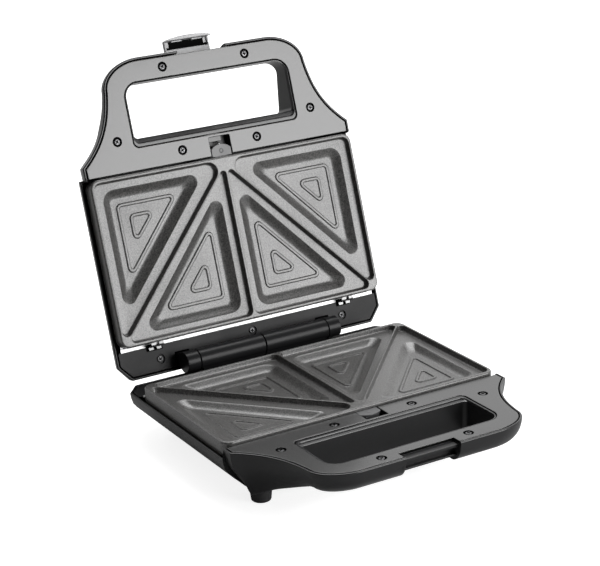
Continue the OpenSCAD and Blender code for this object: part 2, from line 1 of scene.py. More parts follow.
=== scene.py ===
"""Looks of a sandwich toaster: two hinged halves, each with a looped handle and a
lift-out cooking plate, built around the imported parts.

Each piece is drawn in the frame of its own half, in millimetres: y = 0 is the front
edge of the cooking plate, z = 0 is its rim, and the half grows downwards from there.
The lower half stands on its feet, and the upper half is mirrored and swung open.
"""

import json
import math
import bmesh
import bpy
from bpy.props import FloatProperty, FloatVectorProperty, PointerProperty
from mathutils import Matrix, Vector
from mathutils.geometry import interpolate_bezier


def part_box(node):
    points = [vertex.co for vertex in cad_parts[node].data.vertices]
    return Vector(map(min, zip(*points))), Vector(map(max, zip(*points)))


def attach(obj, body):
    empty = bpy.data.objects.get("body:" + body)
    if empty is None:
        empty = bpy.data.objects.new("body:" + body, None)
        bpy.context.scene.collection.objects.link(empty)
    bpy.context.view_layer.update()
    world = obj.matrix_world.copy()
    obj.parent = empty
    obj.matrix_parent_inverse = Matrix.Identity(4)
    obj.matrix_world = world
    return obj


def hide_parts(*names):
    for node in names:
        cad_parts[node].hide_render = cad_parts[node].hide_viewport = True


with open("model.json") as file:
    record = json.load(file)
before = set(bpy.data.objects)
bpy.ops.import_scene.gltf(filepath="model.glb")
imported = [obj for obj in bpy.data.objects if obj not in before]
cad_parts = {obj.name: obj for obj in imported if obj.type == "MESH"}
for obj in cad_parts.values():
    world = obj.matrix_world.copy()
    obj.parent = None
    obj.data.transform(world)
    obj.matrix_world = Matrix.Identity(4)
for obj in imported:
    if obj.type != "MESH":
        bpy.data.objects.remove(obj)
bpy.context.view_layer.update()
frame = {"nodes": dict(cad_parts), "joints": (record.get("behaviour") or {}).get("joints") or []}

bl_info = {
    "name": "Sandwich toaster",
    "version": (1, 0, 0),
    "blender": (4, 5, 0),
    "location": "View3D > Sidebar > Toaster",
    "description": "Builds the surfaces of a hinged sandwich toaster around its packed parts",
    "category": "Object",
}

# ---------------------------------------------------------------- driving places

MM = 0.001
LID_HINGE = {joint["name"]: joint for joint in frame["joints"]}["lid_hinge"]
HINGE = Vector(LID_HINGE["pos_m"])
LID_OPEN = math.radians(LID_HINGE["range_deg"][1])
RIM_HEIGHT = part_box("base_plate")[1].z
HINGE_Y = 155.4
PLATE_GAP = 1.6

# Outline of a half: an elliptical front corner, a flared leg, then a chamfered back.
HANDLE_Y = 90.0
CORNER = Vector((58.0, -66.0))
LEG_X = 91.8
LEG_HANDLES = (Vector((94.6, -50.0)), Vector((98.0, -31.0)))
LEG_END_Y = -11.0
LEG_STEP = 1.3
HALF_W = 123.3
LEG_END_X = HALF_W - LEG_STEP
WELL_Y = -1.5
REAR_Y = 161.0
CHAMFER = Vector((10.5, 12.0))
REAR_ROUND = 2.5
RING_STEPS = 32

# Depths under the plate rim.
TRIM_DROP = 2.4
LEDGE_DROP = 10.5
TRIM_T = 2.2
TRIM_UNDER = TRIM_DROP + TRIM_T
LEDGE_UNDER = LEDGE_DROP + TRIM_T
DEPTH = {"base": 41.0, "lid": 37.0}
GRIP_D = 20.0
GRIP_INSET = 12.0
TUB_ACROSS = 21.5
TUB_ALONG = 2.0
# How the tub's wall draws in, as (share of the depth, share of the inset).
TUB_SECTION = ((0, 0), (0.3, 0.09), (0.55, 0.4), (0.75, 0.7), (0.9, 0.92), (1, 1.12))
# The run in front of the plate over which the grip's section turns into the tub's.
TUB_BLEND = 40.0
# The underside slopes from the grip to a shoulder, then falls the last way to the tub.
# The blur evens out its bends, and the cuts across it let the flat faces follow them.
SLOPE_Y = -60.0
SLOPE_RUN = 38.0
SLOPE_BLUR = 4
SHOULDER_Y = -22.0
SHOULDER_RUN = 12.0
SHOULDER_RISE = 6.5
SLOPE_CUTS = range(-78, -4, 4)

WINDOW_X = 75.5
WINDOW_FRONT = 71.0
WINDOW_REAR = 19.0
WINDOW_ROUND = (12.5, 5.0)

PLATE_W = 240.0
PLATE_L = 134.0
PLATE_T = 12.2
PLATE_R = 7.5
BED_D = 4.6
POCKET_D = 9.0
# On the right, each bed's corner radii, then its triangle, its pocket's and its embossed ones.
BEDS = (
    ((6, 4, 7.5), ((117.5, 2.8), (117.5, 131), (-1.4, 2.8)), ((109.5, 10), (109.5, 109.6), (18.9, 10)),
     ((98.25, 21.5), (98.25, 82.7), (42.7, 21.5)), ((88.5, 31), (88.5, 56.9), (64.4, 31))),
    ((5, 2.5, 4), ((1.2, 131.2), (1.2, 7.8), (115.9, 131.2)), ((8.25, 125.5), (8.25, 24.9), (98.6, 125.5)),
     ((19.4, 113), (19.4, 51.8), (75.3, 113)), ((29, 103.5), (29, 77.6), (53.1, 103.5))),
)
# Half the section of an embossed band, as (draw in, share of its height).
EMBOSS_RISE = ((-0.35, 0), (-0.15, 0.12), (0.12, 0.5), (0.32, 0.88), (0.6, 1))

TRIM_SCREWS = ((34.3, -11), (88.9, -26.6), (37.6, -79.3))
COVER_SCREWS = ((85.5, 149), (0, 144))
SOCKET_R = 4.0
SOCKET_D = 1.3
SOCKET_BORE = 1.6
COVER_Y = 138.4
HOOK_X = 89.0
HOOK_SHEET = 0.9
NOTCH_X = 9.5
NOTCH_Y = -17.0

BARREL_R = 8.6
BARREL_X = 59.5
KNUCKLE_L = 12.0
PIN_R = 3.0

CLIP_PIVOT = Vector((-77.2, -13.4))
CLIP_W = 41.0
CLIP_FRONT = -91.0
CLIP_CROWN = 105.0
CLIP_CORNER = 3.2
RECESS_W = 44.0
LATCH_W = 47.0
LATCH_Y = -80.0
LATCH_D = 15.4
LAMP = Vector((9.0, 22.0))
LAMP_HOLE_R = 3.6
CORD = Vector((84.0, -26.0))
CORD_HOLE_R = 5.9
FEET = ((91.5, 1.0), (79.0, 144.0))


def half_matrix(half):
    """From millimetres in a half's own frame to metres in the shared frame."""
    front = HINGE.y - HINGE_Y * MM
    lift = PLATE_GAP * MM if half == "lid" else 0
    placed = Matrix.Translation((0, front, RIM_HEIGHT + lift)) @ Matrix.Scale(MM, 4)
    if half == "base":
        return placed
    swing = Matrix.Translation(HINGE) @ Matrix.Rotation(-LID_OPEN, 4, "X") @ Matrix.Translation(-HINGE)
    return swing @ placed @ Matrix.Scale(-1, 4, (0, 0, 1))


def sizes():
    """The add-on's sizes, in metres."""
    return bpy.context.scene.toaster_sizes


def panel_gap():
    """From the outline to a trim or cover: the housing's wall and the seam beside it."""
    return (sizes().wall + sizes().seam) / MM


# ---------------------------------------------------------------- outlines

def quarter(steps):
    """Angles of a quarter turn, in even steps."""
    return [math.radians(90 * i / steps) for i in range(steps + 1)]


def mix(a, b, share):
    """Between a and b, held at the ends."""
    return a + (b - a) * min(1.0, max(0.0, share))


def corner_arc(before, at, after, radius, steps):
    """Points of a rounded corner."""
    a = (before - at).normalized()
    b = (after - at).normalized()
    half = a.angle(b) / 2
    centre = at + (a + b).normalized() * radius / math.sin(half)
    start = at + a * radius / math.tan(half) - centre
    out, back = after - at, before - at
    turn = 1 if out.x * back.y - out.y * back.x > 0 else -1
    sweep = turn * (math.pi - 2 * half)
    return [centre + Matrix.Rotation(sweep * i / steps, 2) @ start for i in range(steps + 1)]


def rounded(points, radii, steps):
    """A polygon with its own radius at each corner; a radius of 0 keeps the point."""
    points = [Vector(p) for p in points]
    shape = []
    for i, radius in enumerate(radii):
        if radius:
            shape += corner_arc(points[i - 1], points[i], points[(i + 1) % len(points)], radius, steps)
        else:
            shape.append(points[i])
    return shape


def inward(points):
    """Inward direction at each point of an anticlockwise outline, longer at a corner."""
    found = []
    for i, point in enumerate(points):
        a = (point - points[i - 1]).normalized()
        b = (points[(i + 1) % len(points)] - point).normalized()
        found.append(Vector((-a.y - b.y, a.x + b.x)) / (1 + a.dot(b)))
    return found


def inset(points, distance):
    points = [Vector(p) for p in points]
    return [p + d * distance for p, d in zip(points, inward(points))]


def mirrored(right):
    """A right half outline, from the front middle to the back middle, and its mirror image."""
    return list(right) + [Vector((-p.x, p.y)) for p in reversed(right)]


def ring(radius, centre):
    turn = 2 * math.pi / RING_STEPS
    return [Vector((centre[0] + radius * math.cos(i * turn), centre[1] + radius * math.sin(i * turn)))
            for i in range(RING_STEPS)]


def handle_side():
    """The right side of the handle, from the front edge to where the plate well begins."""
    across, along = LEG_X - CORNER.x, HANDLE_Y + CORNER.y
    corner = [Vector((CORNER.x + across * math.sin(a), CORNER.y - along * math.cos(a))) for a in quarter(16)]
    leg_end = Vector((LEG_END_X, LEG_END_Y))
    leg = interpolate_bezier(Vector((LEG_X, CORNER.y)), *LEG_HANDLES, leg_end, 20)
    return corner + [Vector(p[:2]) for p in leg[1:]]


def outline():
    """The outline of a half, with the step out to the sides of the plate well."""
    step = [Vector((LEG_END_X, y)) for y in (-9, -7, -5, -3, WELL_Y - 0.2)] + [Vector((HALF_W, WELL_Y))]
    chamfer = [Vector((HALF_W, REAR_Y - CHAMFER.y)), Vector((HALF_W - CHAMFER.x, REAR_Y))]
    return mirrored(handle_side() + step + chamfer)


def soften_back(points):
    """Rounds the four rear corners of a loop that follows the outline."""
    last = len(points) // 2
    corners = {last - 2, last - 1, last, last + 1}
    soft = []
    for i, point in enumerate(points):
        if i in corners:
            near = [Vector(points[k][:2]) for k in (i - 1, i, i + 1)]
            soft += [Vector((p.x, p.y, point.z)) for p in corner_arc(*near, REAR_ROUND, 4)]
        else:
            soft.append(point)
    return soft


def window(draw_in, rear=0.0):
    """The finger opening, drawn in all round, and by a further amount at its rear edge."""
    x = WINDOW_X - draw_in
    y0 = -WINDOW_FRONT + min(draw_in, 1.6)
    y1 = -WINDOW_REAR - draw_in - rear
    front, back = WINDOW_ROUND[0] - draw_in, WINDOW_ROUND[1] - draw_in / 2
    return rounded(((-x, y0), (x, y0), (x, y1), (-x, y1)), (front, front, back, back), 8)


# ---------------------------------------------------------------- mesh helpers

def loop(bm, points, height):
    """A closed loop of edges through flat points; height is a number or a rule of the point."""
    z = height if callable(height) else lambda point: height
    verts = [bm.verts.new((p.x, p.y, z(p))) for p in points]
    return [bm.edges.new((a, b)) for a, b in zip(verts, verts[1:] + verts[:1])]


def skin(bm, loops):
    """Walls between neighbouring loops."""
    for a, b in zip(loops, loops[1:]):
        bmesh.ops.bridge_loops(bm, edges=a + b)


def cap(bm, loops, normal=(0, 0, 1)):
    """A face that fills the first loop and leaves the others open as holes."""
    edges = [edge for one in loops for edge in one]
    made = bmesh.ops.triangle_fill(bm, use_beauty=True, edges=edges, normal=normal)
    return [g for g in made["geom"] if isinstance(g, bmesh.types.BMFace)]


def edge_round(radius, steps=3):
    """Places of a rounded edge, from the top face to the wall, as (draw in, drop)."""
    return [(radius * (1 - math.sin(a)), radius * (1 - math.cos(a))) for a in quarter(steps)]


def block(bm, x, y, depth, edge):
    """A box between depths, with rounded edges."""
    verts = bmesh.ops.create_cube(bm, size=1)["verts"]
    size = (x[1] - x[0], y[1] - y[0], depth[1] - depth[0])
    centre = ((x[0] + x[1]) / 2, (y[0] + y[1]) / 2, -(depth[0] + depth[1]) / 2)
    bmesh.ops.scale(bm, vec=size, verts=verts)
    bmesh.ops.translate(bm, vec=centre, verts=verts)
    edges = list({e for v in verts for e in v.link_edges})
    if edge:
        bmesh.ops.bevel(bm, geom=edges, offset=edge, offset_type="OFFSET", segments=2,
                        profile=0.5, affect="EDGES", material=-1)


def centred(bm, reach, y, depth, edge=0.3):
    """A block centred across the part; reach is half its width."""
    block(bm, (-reach, reach), y, depth, edge)


def both_blocks(bm, x, y, depth, edge):
    """A block on the right, and its mirror image."""
    block(bm, x, y, depth, edge)
    block(bm, (-x[1], -x[0]), y, depth, edge)


def turned(bm, profile, centre, axis, steps):
    """A lathe-turned solid; the profile is a list of (place along the axis, radius)."""
    axis = Vector(axis)
    side = axis.orthogonal().normalized()
    centre = Vector(centre)
    on_axis = profile[0][1] == 0 and profile[-1][1] == 0
    verts = [bm.verts.new(centre + axis * along + side * radius) for along, radius in profile]
    pairs = list(zip(verts, verts[1:])) + ([] if on_axis else [(verts[-1], verts[0])])
    edges = [bm.edges.new(pair) for pair in pairs]
    made = bmesh.ops.spin(bm, geom=verts + edges, cent=centre, axis=axis, angle=2 * math.pi,
                          steps=steps, use_merge=True, use_duplicate=False)
    found = {v for v in verts if v.is_valid}
    found |= {g for g in made["geom_last"] if isinstance(g, bmesh.types.BMVert) and g.is_valid}
    reach = set(found)
    while found:
        found = {e.other_vert(v) for v in found for e in v.link_edges} - reach
        reach |= found
    bmesh.ops.remove_doubles(bm, verts=list(reach), dist=1e-4)


def rod_profile(start, end, radius, edge, bore):
    """Profile of a rod with rounded ends; a bore of 0 leaves it solid."""
    first = [(start + drop, radius - draw_in) for draw_in, drop in edge_round(edge)]
    last = [(end - drop, radius - draw_in) for draw_in, drop in reversed(edge_round(edge))]
    return [(start, bore)] + first + last + [(end, bore)]


def new_object(name, bm):
    mesh = bpy.data.meshes.new(name)
    bm.to_mesh(mesh)
    bm.free()
    piece = bpy.data.objects.new(name, mesh)
    bpy.context.scene.collection.objects.link(piece)
    return piece


def cut_away(piece, cutter):
    """Cuts one closed mesh out of another, and removes the cutter."""
    cut = piece.modifiers.new("cut", "BOOLEAN")
    cut.operation = "DIFFERENCE"
    cut.solver = "EXACT"
    cut.object = cutter
    bpy.context.view_layer.update()
    shown = piece.evaluated_get(bpy.context.evaluated_depsgraph_get())
    result = bpy.data.meshes.new_from_object(shown)
    piece.modifiers.clear()
    old, piece.data = piece.data, result
    bpy.data.meshes.remove(old)
    bpy.data.objects.remove(cutter)


def cut_box(piece, reach, y, depth):
    """Cuts a box, centred across the part, out of a piece."""
    bm = bmesh.new()
    centred(bm, reach, y, depth, 0)
    cut_away(piece, new_object("cutter", bm))


def cut_holes(piece, radius, length, starts, axis):
    """Cuts round holes out of a piece, each from its start along the axis."""
    bm = bmesh.new()
    for start in starts:
        turned(bm, [(0, 0), (0, radius), (length, radius), (length, 0)], start, axis, 32)
    cut_away(piece, new_object("cutter", bm))


def finish_piece(piece, half, materials, stands_for, sharp, body=None, second=None):
    """Puts a piece in its place, turns its faces out, shades it and names what it is part of.

    It rides on its half unless a body is given; second chooses the faces that take the
    second material.
    """
    bm = bmesh.new()
    bm.from_mesh(piece.data)
    if second:
        for face in bm.faces:
            face.material_index = 1 if second(face) else 0
    bmesh.ops.transform(bm, matrix=half_matrix(half), verts=bm.verts)
    bmesh.ops.recalc_face_normals(bm, faces=bm.faces)
    bm.to_mesh(piece.data)
    bm.free()
    for name in materials:
        piece.data.materials.append(finish(name))
    piece.data.shade_smooth()
    piece.data.set_sharp_from_angle(angle=math.radians(sharp))
    weighted = piece.modifiers.new("even_faces", "WEIGHTED_NORMAL")
    weighted.keep_sharp = True
    weighted.weight = 80
    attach(piece, body or half)
    if stands_for:
        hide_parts(stands_for)


# ---------------------------------------------------------------- node groups

def new_node(tree, kind, values=None):
    """A node of a tree, with some of its inputs set."""
    node = tree.nodes.new(kind)
    for socket, value in (values or {}).items():
        node.inputs[socket].default_value = value
    return node


def group_sockets(name, inputs, outputs):
    """An empty shader node group with its named sockets, or the one already there."""
    group = bpy.data.node_groups.get(name)
    if group:
        return group, None, None
    group = bpy.data.node_groups.new(name, "ShaderNodeTree")
    for socket, kind, value in inputs:
        made = group.interface.new_socket(name=socket, in_out="INPUT", socket_type=kind)
        if value is not None:
            made.default_value = value
    for socket, kind in outputs:
        group.interface.new_socket(name=socket, in_out="OUTPUT", socket_type=kind)
    return group, group.nodes.new("NodeGroupInput"), group.nodes.new("NodeGroupOutput")


def math_node(tree, operation, a, b):
    """A math node; a and b are sockets or numbers."""
    node = tree.nodes.new("ShaderNodeMath")
    node.operation = operation
    for socket, value in zip(node.inputs, (a, b)):
        if isinstance(value, (int, float)):
            socket.default_value = value
        else:
            tree.links.new(value, socket)
    return node.outputs[0]


def grain_group():
    """Fine moulded or cast grain: a height, and a mask of its lighter flecks."""
    inputs = (("Vector", "NodeSocketVector", None), ("Scale", "NodeSocketFloat", 1500.0),
              ("Coarse", "NodeSocketFloat", 0.3))
    outputs = (("Height", "NodeSocketFloat"), ("Fleck", "NodeSocketFloat"))
    group, given, result = group_sockets("surface_grain", inputs, outputs)
    if given is None:
        return group
    links = group.links
    fine = new_node(group, "ShaderNodeTexNoise", {"Detail": 2.0, "Roughness": 0.6})
    coarse = new_node(group, "ShaderNodeTexNoise", {"Detail": 1.0})
    links.new(given.outputs["Vector"], fine.inputs["Vector"])
    links.new(given.outputs["Vector"], coarse.inputs["Vector"])
    links.new(given.outputs["Scale"], fine.inputs["Scale"])
    links.new(math_node(group, "MULTIPLY", given.outputs["Scale"], 0.35), coarse.inputs["Scale"])
    share = math_node(group, "MULTIPLY", coarse.outputs[0], given.outputs["Coarse"])
    links.new(math_node(group, "ADD", fine.outputs[0], share), result.inputs["Height"])
    spread = new_node(group, "ShaderNodeMapRange", {"From Min": 0.35, "From Max": 0.68})
    links.new(fine.outputs[0], spread.inputs["Value"])
    links.new(spread.outputs[0], result.inputs["Fleck"])
    return group


def handling_group():
    """Faint uneven patches, as handling and wiping leave them: a mask from 0 to 1."""
    inputs = (("Vector", "NodeSocketVector", None), ("Scale", "NodeSocketFloat", 18.0))
    group, given, result = group_sockets("handling", inputs, (("Mask", "NodeSocketFloat"),))
    if given is None:
        return group
    links = group.links
    patches = new_node(group, "ShaderNodeTexNoise", {"Detail": 4.0, "Distortion": 0.6})
    spread = new_node(group, "ShaderNodeMapRange", {"From Min": 0.35, "From Max": 0.7})
    links.new(given.outputs["Vector"], patches.inputs["Vector"])
    links.new(given.outputs["Scale"], patches.inputs["Scale"])
    links.new(patches.outputs[0], spread.inputs["Value"])
    links.new(spread.outputs[0], result.inputs["Mask"])
    return group


# ---------------------------------------------------------------- finishes

WIPED_SCALE = 22.0


def finish(name):
    """The material of that name, made when it is first asked for."""
    return bpy.data.materials.get(name) or FINISHES[name](name)


def blank(name, values):
    """A material with only its shader, some of whose inputs are set."""
    material = bpy.data.materials.new(name)
    material.use_nodes = True
    shader = material.node_tree.nodes["Principled BSDF"]
    for socket, value in values.items():
        shader.inputs[socket].default_value = value
    return material, material.node_tree, shader


def object_place(tree, kind="Object"):
    """The coordinates that patterns are laid out in."""
    return tree.nodes.new("ShaderNodeTexCoord").outputs[kind]


def use_group(tree, group, place, scale):
    node = new_node(tree, "ShaderNodeGroup")
    node.node_tree = group
    tree.links.new(place, node.inputs["Vector"])
    node.inputs["Scale"].default_value = scale
    return node


def two_tones(tree, mask, dark, light):
    """A colour between two tones, chosen by a mask."""
    tones = tree.nodes.new("ShaderNodeMix")
    tones.data_type = "RGBA"
    tones.inputs["A"].default_value = (*dark, 1)
    tones.inputs["B"].default_value = (*light, 1)
    tree.links.new(mask, tones.inputs["Factor"])
    return tones.outputs["Result"]


def ranged(tree, mask, low, high):
    """A mask spread between two values."""
    spread = new_node(tree, "ShaderNodeMapRange", {"To Min": low, "To Max": high})
    tree.links.new(mask, spread.inputs["Value"])
    return spread.outputs[0]


def bump(tree, shader, height, strength, distance):
    relief = new_node(tree, "ShaderNodeBump", {"Strength": strength, "Distance": distance})
    tree.links.new(height, relief.inputs["Height"])
    tree.links.new(relief.outputs[0], shader.inputs["Normal"])


def tone(colour, factor):
    return tuple(min(1.0, c * factor) for c in colour)


def surface(name, colour, rough, grain, spread, fleck, relief,
            metallic=0.0, ior=1.5, depth=0.00003, shine=0.5):
    """A grained surface: its colour flecks, its roughness wanders and its grain has relief."""
    plain = {"Metallic": metallic, "IOR": ior, "Specular IOR Level": shine}
    material, tree, shader = blank(name, plain)
    place = object_place(tree)
    cast = use_group(tree, grain_group(), place, grain)
    wiped = use_group(tree, handling_group(), place, WIPED_SCALE)
    tones = two_tones(tree, cast.outputs["Fleck"], tone(colour, 1 - fleck), tone(colour, 1 + fleck))
    tree.links.new(tones, shader.inputs["Base Color"])
    wander = ranged(tree, wiped.outputs["Mask"], rough, rough + spread)
    tree.links.new(wander, shader.inputs["Roughness"])
    bump(tree, shader, cast.outputs["Height"], relief, depth)
    return material


def colours():
    return bpy.context.scene.toaster_colours


def satin_black(name):
    return surface(name, colours().housing, rough=0.33, grain=2200.0, spread=0.08, fleck=0.15,
                   relief=0.25, depth=0.00002, shine=0.24)


def rim_black(name):
    return surface(name, colours().housing, rough=0.2, grain=2200.0, spread=0.06, fleck=0.1,
                   relief=0.05, depth=0.00001, shine=0.36)


def cover_black(name):
    return surface(name, colours().housing, rough=0.45, grain=1700.0, spread=0.08, fleck=0.2,
                   relief=0.4, shine=0.16)


def barrel_black(name):
    return surface(name, colours().housing, rough=0.28, grain=2200.0, spread=0.06, fleck=0.1,
                   relief=0.15, depth=0.00002, shine=0.12)


def gloss_black(name):
    return surface(name, colours().trim, rough=0.12, grain=2600.0, spread=0.05, fleck=0.05,
                   relief=0.03, ior=1.55, depth=0.00001)


def nonstick(name):
    return surface(name, colours().coating, rough=0.33, grain=950.0, spread=0.05, fleck=0.8,
                   relief=1.0, ior=1.6, depth=0.00006)


def tray_sheet(name):
    return surface(name, (0.42, 0.42, 0.42), rough=0.45, grain=900.0, spread=0.1, fleck=0.1,
                   relief=0.1, metallic=1.0)


def bright_sheet(name):
    """Rolled sheet, with fine lines along its length."""
    material, tree, shader = blank(name, {"Metallic": 1.0})
    lines = new_node(tree, "ShaderNodeMapping", {"Scale": (30.0, 900.0, 900.0)})
    tree.links.new(object_place(tree), lines.inputs["Vector"])
    rolled = use_group(tree, grain_group(), lines.outputs[0], 1.0)
    metal = colours().bright_metal
    tones = two_tones(tree, rolled.outputs["Fleck"], tone(metal, 0.85), metal)
    tree.links.new(tones, shader.inputs["Base Color"])
    wander = ranged(tree, rolled.outputs["Fleck"], 0.2, 0.34)
    tree.links.new(wander, shader.inputs["Roughness"])
    bump(tree, shader, rolled.outputs["Height"], 0.1, 0.00001)
    return material


def dark_plating(name):
    return surface(name, (0.08, 0.08, 0.082), rough=0.3, grain=900.0, spread=0.1, fleck=0.15,
                   relief=0.1, metallic=1.0)


def hook_steel(name):
    return surface(name, (0.13, 0.13, 0.13), rough=0.35, grain=900.0, spread=0.1, fleck=0.15,
                   relief=0.1, metallic=1.0)


def black_oxide(name):
    return surface(name, (0.05, 0.05, 0.051), rough=0.3, grain=900.0, spread=0.1, fleck=0.2,
                   relief=0.15, metallic=1.0)


def painted_socket_shade(name):
    """Near-black rough plastic that paints the shade at the bottom of sockets and gaps."""
    return surface(name, (0.003, 0.003, 0.003), rough=0.75, grain=1500.0, spread=0.1, fleck=0.2,
                   relief=0.1, shine=0.03)


def clip_grey(name):
    return surface(name, colours().clip, rough=0.3, grain=2000.0, spread=0.08, fleck=0.05,
                   relief=0.08, depth=0.00002)


def catch_grey(name):
    return surface(name, colours().catch, rough=0.38, grain=2000.0, spread=0.08, fleck=0.1,
                   relief=0.2, depth=0.00002)


def foot_rubber(name):
    return surface(name, (0.018, 0.018, 0.019), rough=0.6, grain=1500.0, spread=0.1, fleck=0.2,
                   relief=0.3)


def annealed_steel(name):
    return surface(name, (0.12, 0.1, 0.09), rough=0.45, grain=500.0, spread=0.2, fleck=0.3,
                   relief=0.2, metallic=1.0)


def ceramic_white(name):
    return surface(name, (0.72, 0.69, 0.6), rough=0.4, grain=900.0, spread=0.1, fleck=0.05, relief=0.1)


def board_green(name):
    return surface(name, (0.05, 0.16, 0.07), rough=0.35, grain=700.0, spread=0.1, fleck=0.2, relief=0.1)


def lens(name, colour):
    """Clear tinted plastic with a gloss skin."""
    material = surface(name, colour, rough=0.08, grain=1200.0, spread=0.04, fleck=0.08, relief=0.02)
    shader = material.node_tree.nodes["Principled BSDF"]
    shader.inputs["Transmission Weight"].default_value = 0.35
    shader.inputs["Coat Weight"].default_value = 0.6
    return material


def red_lens(name):
    return lens(name, (0.42, 0.02, 0.015))


def green_lens(name):
    return lens(name, (0.02, 0.32, 0.07))


FINISHES = {made.__name__: made for made in (
    satin_black, rim_black, cover_black, barrel_black, gloss_black, nonstick, bright_sheet, tray_sheet,
    dark_plating, hook_steel, black_oxide, painted_socket_shade, clip_grey, catch_grey, foot_rubber,
    annealed_steel, ceramic_white, board_green, red_lens, green_lens)}


# ---------------------------------------------------------------- housings

def eased(table, place):
    """A smooth curve through a short table of (place, value) pairs."""
    i = next((k for k, point in enumerate(table[1:]) if place <= point[0]), len(table) - 2)
    slopes = []
    for k in (i, i + 1):
        near = table[max(k - 1, 0)], table[min(k + 1, len(table) - 1)]
        slopes.append((near[1][1] - near[0][1]) / (near[1][0] - near[0][0]))
    (x0, y0), (x1, y1) = table[i:i + 2]
    width = x1 - x0
    t = (place - x0) / width
    return ((2 * t ** 3 - 3 * t ** 2 + 1) * y0 + (t ** 3 - 2 * t ** 2 + t) * width * slopes[0]
            + (3 * t ** 2 - 2 * t ** 3) * y1 + (t ** 3 - t ** 2) * width * slopes[1])


def top_depth(y):
    return TRIM_DROP if y < WELL_Y - 0.1 else LEDGE_DROP


def floor_depth(y, half):
    """Depth of the underside: shallow at the grip, then down a slope to the tub."""
    tub = DEPTH[half]
    shoulder = tub - SHOULDER_RISE

    def straight(at):
        if at < SHOULDER_Y:
            return mix(GRIP_D, shoulder, (at - SLOPE_Y) / SLOPE_RUN)
        return mix(shoulder, tub, (at - SHOULDER_Y) / SHOULDER_RUN)
    near = range(-SLOPE_BLUR, SLOPE_BLUR + 1)
    return sum(straight(y + k) for k in near) / len(near)


class Shell:
    """Loops of a housing's wall, for one half."""

    def __init__(self, half):
        self.half = half
        self.points = outline()
        self.inward = inward(self.points)

    def rim(self, draw_in, drop):
        shape = [p + d * draw_in for p, d in zip(self.points, self.inward)]
        heights = [-top_depth(p.y) - drop for p in self.points]
        return soften_back([Vector((p.x, p.y, z)) for p, z in zip(shape, heights)])

    def section(self, angle, wall=0.0):
        """The wall at an angle of its quarter turn; wall draws it in to the inner face."""
        share = math.sin(angle)
        grip = 1 - math.cos(angle)
        tub = eased(TUB_SECTION, share)
        shape = []
        for p, d in zip(self.points, self.inward):
            rear = (p.y + TUB_BLEND) / TUB_BLEND
            across = wall + mix(grip * GRIP_INSET, tub * TUB_ACROSS, rear)
            along = wall + mix(grip * GRIP_INSET, tub * TUB_ALONG, rear)
            y = p.y + d.y * along
            depth = mix(top_depth(p.y), floor_depth(y, self.half) - wall, share)
            shape.append(Vector((p.x + d.x * across, y, -depth)))
        return soften_back(shape)


def solid_loop(bm, points):
    return loop(bm, points, lambda point: point.z)


def drape(bm, faces, height):
    """Cuts a face across at even steps and lays it on a height that changes along y."""
    geometry = list({v for f in faces for v in f.verts} | {e for f in faces for e in f.edges}) + faces
    for y in SLOPE_CUTS:
        cut = bmesh.ops.bisect_plane(bm, geom=geometry, dist=1e-4, plane_co=(0, y, 0), plane_no=(0, 1, 0))
        geometry = cut["geom"]
        for vert in [g for g in cut["geom_cut"] if isinstance(g, bmesh.types.BMVert)]:
            vert.co.z = height(vert.co)


def housing_shell(half):
    """The moulded wall of a half, with its rim, underside and finger opening."""
    wall = sizes().wall / MM
    rim = sizes().rim_round / MM
    bm = bmesh.new()
    shell = Shell(half)
    angles = [math.radians(a) for a in (9, 18, 27, 36, 45, 54, 62, 70, 77, 83, 87, 90)]

    outer = [shell.rim(draw_in, drop) for draw_in, drop in edge_round(rim, 4)]
    outer += [shell.section(a) for a in angles]
    inner = [shell.rim(wall - draw_in, drop) for draw_in, drop in edge_round(rim * 0.7)]
    inner += [shell.section(a, wall) for a in angles[::2] + angles[-1:]]
    outer = [solid_loop(bm, points) for points in outer]
    inner = [solid_loop(bm, points) for points in inner]
    skin(bm, list(reversed(outer)) + inner)

    def under(point):
        return -floor_depth(point.y, half)

    def inside(point):
        return wall - floor_depth(point.y, half)

    lip = TRIM_DROP + 0.5
    ledge = lip + 1.3
    frame_loops = (
        (0.6, 0.0, inside), (0.6, 0.0, -lip - 0.6), (0.75, 0.0, -lip - 0.2), (1.1, 0.0, -lip),
        (1.7, 1.5, -lip - 0.1), (2.05, 1.5, -lip - 0.25), (2.2, 1.5, -lip - 0.6),
        (2.3, 1.5, -ledge + 0.1), (2.36, 1.7, -ledge), (2.42, 4.4, -ledge - 0.3),
        (2.5, 4.8, -ledge - 0.5), (2.55, 4.9, -ledge - 0.8),
        (2.7, 4.9, lambda p: under(p) + 1.8), (2.55, 4.7, lambda p: under(p) + 0.9),
        (2.0, 4.2, lambda p: under(p) + 0.3), (1.2, 3.6, under),
    )
    opening = [loop(bm, window(draw_in, rear), height) for draw_in, rear, height in frame_loops]
    skin(bm, opening)
    drape(bm, cap(bm, [outer[-1], opening[-1]]), under)
    drape(bm, cap(bm, [inner[-1], opening[0]]), inside)
    bmesh.ops.recalc_face_normals(bm, faces=bm.faces)
    return new_object(half + "_shell", bm)


def grip_cheeks(bm, x, y):
    """Side walls of the cut in a grip: the grip's own section, a little drawn in."""
    play = 0.25
    front, bottom = -HANDLE_Y + play, GRIP_D - play
    section = [Vector((front + GRIP_INSET * (1 - math.cos(a)), -mix(TRIM_UNDER, bottom, math.sin(a))))
               for a in quarter(9)]
    profile = section + [Vector((y[1], -bottom)), Vector((y[1], -TRIM_UNDER))]
    for side in (-1, 1):
        across_x(bm, profile, [(place, 0.0) for place in sorted((side * x, side * (x + 2)))])


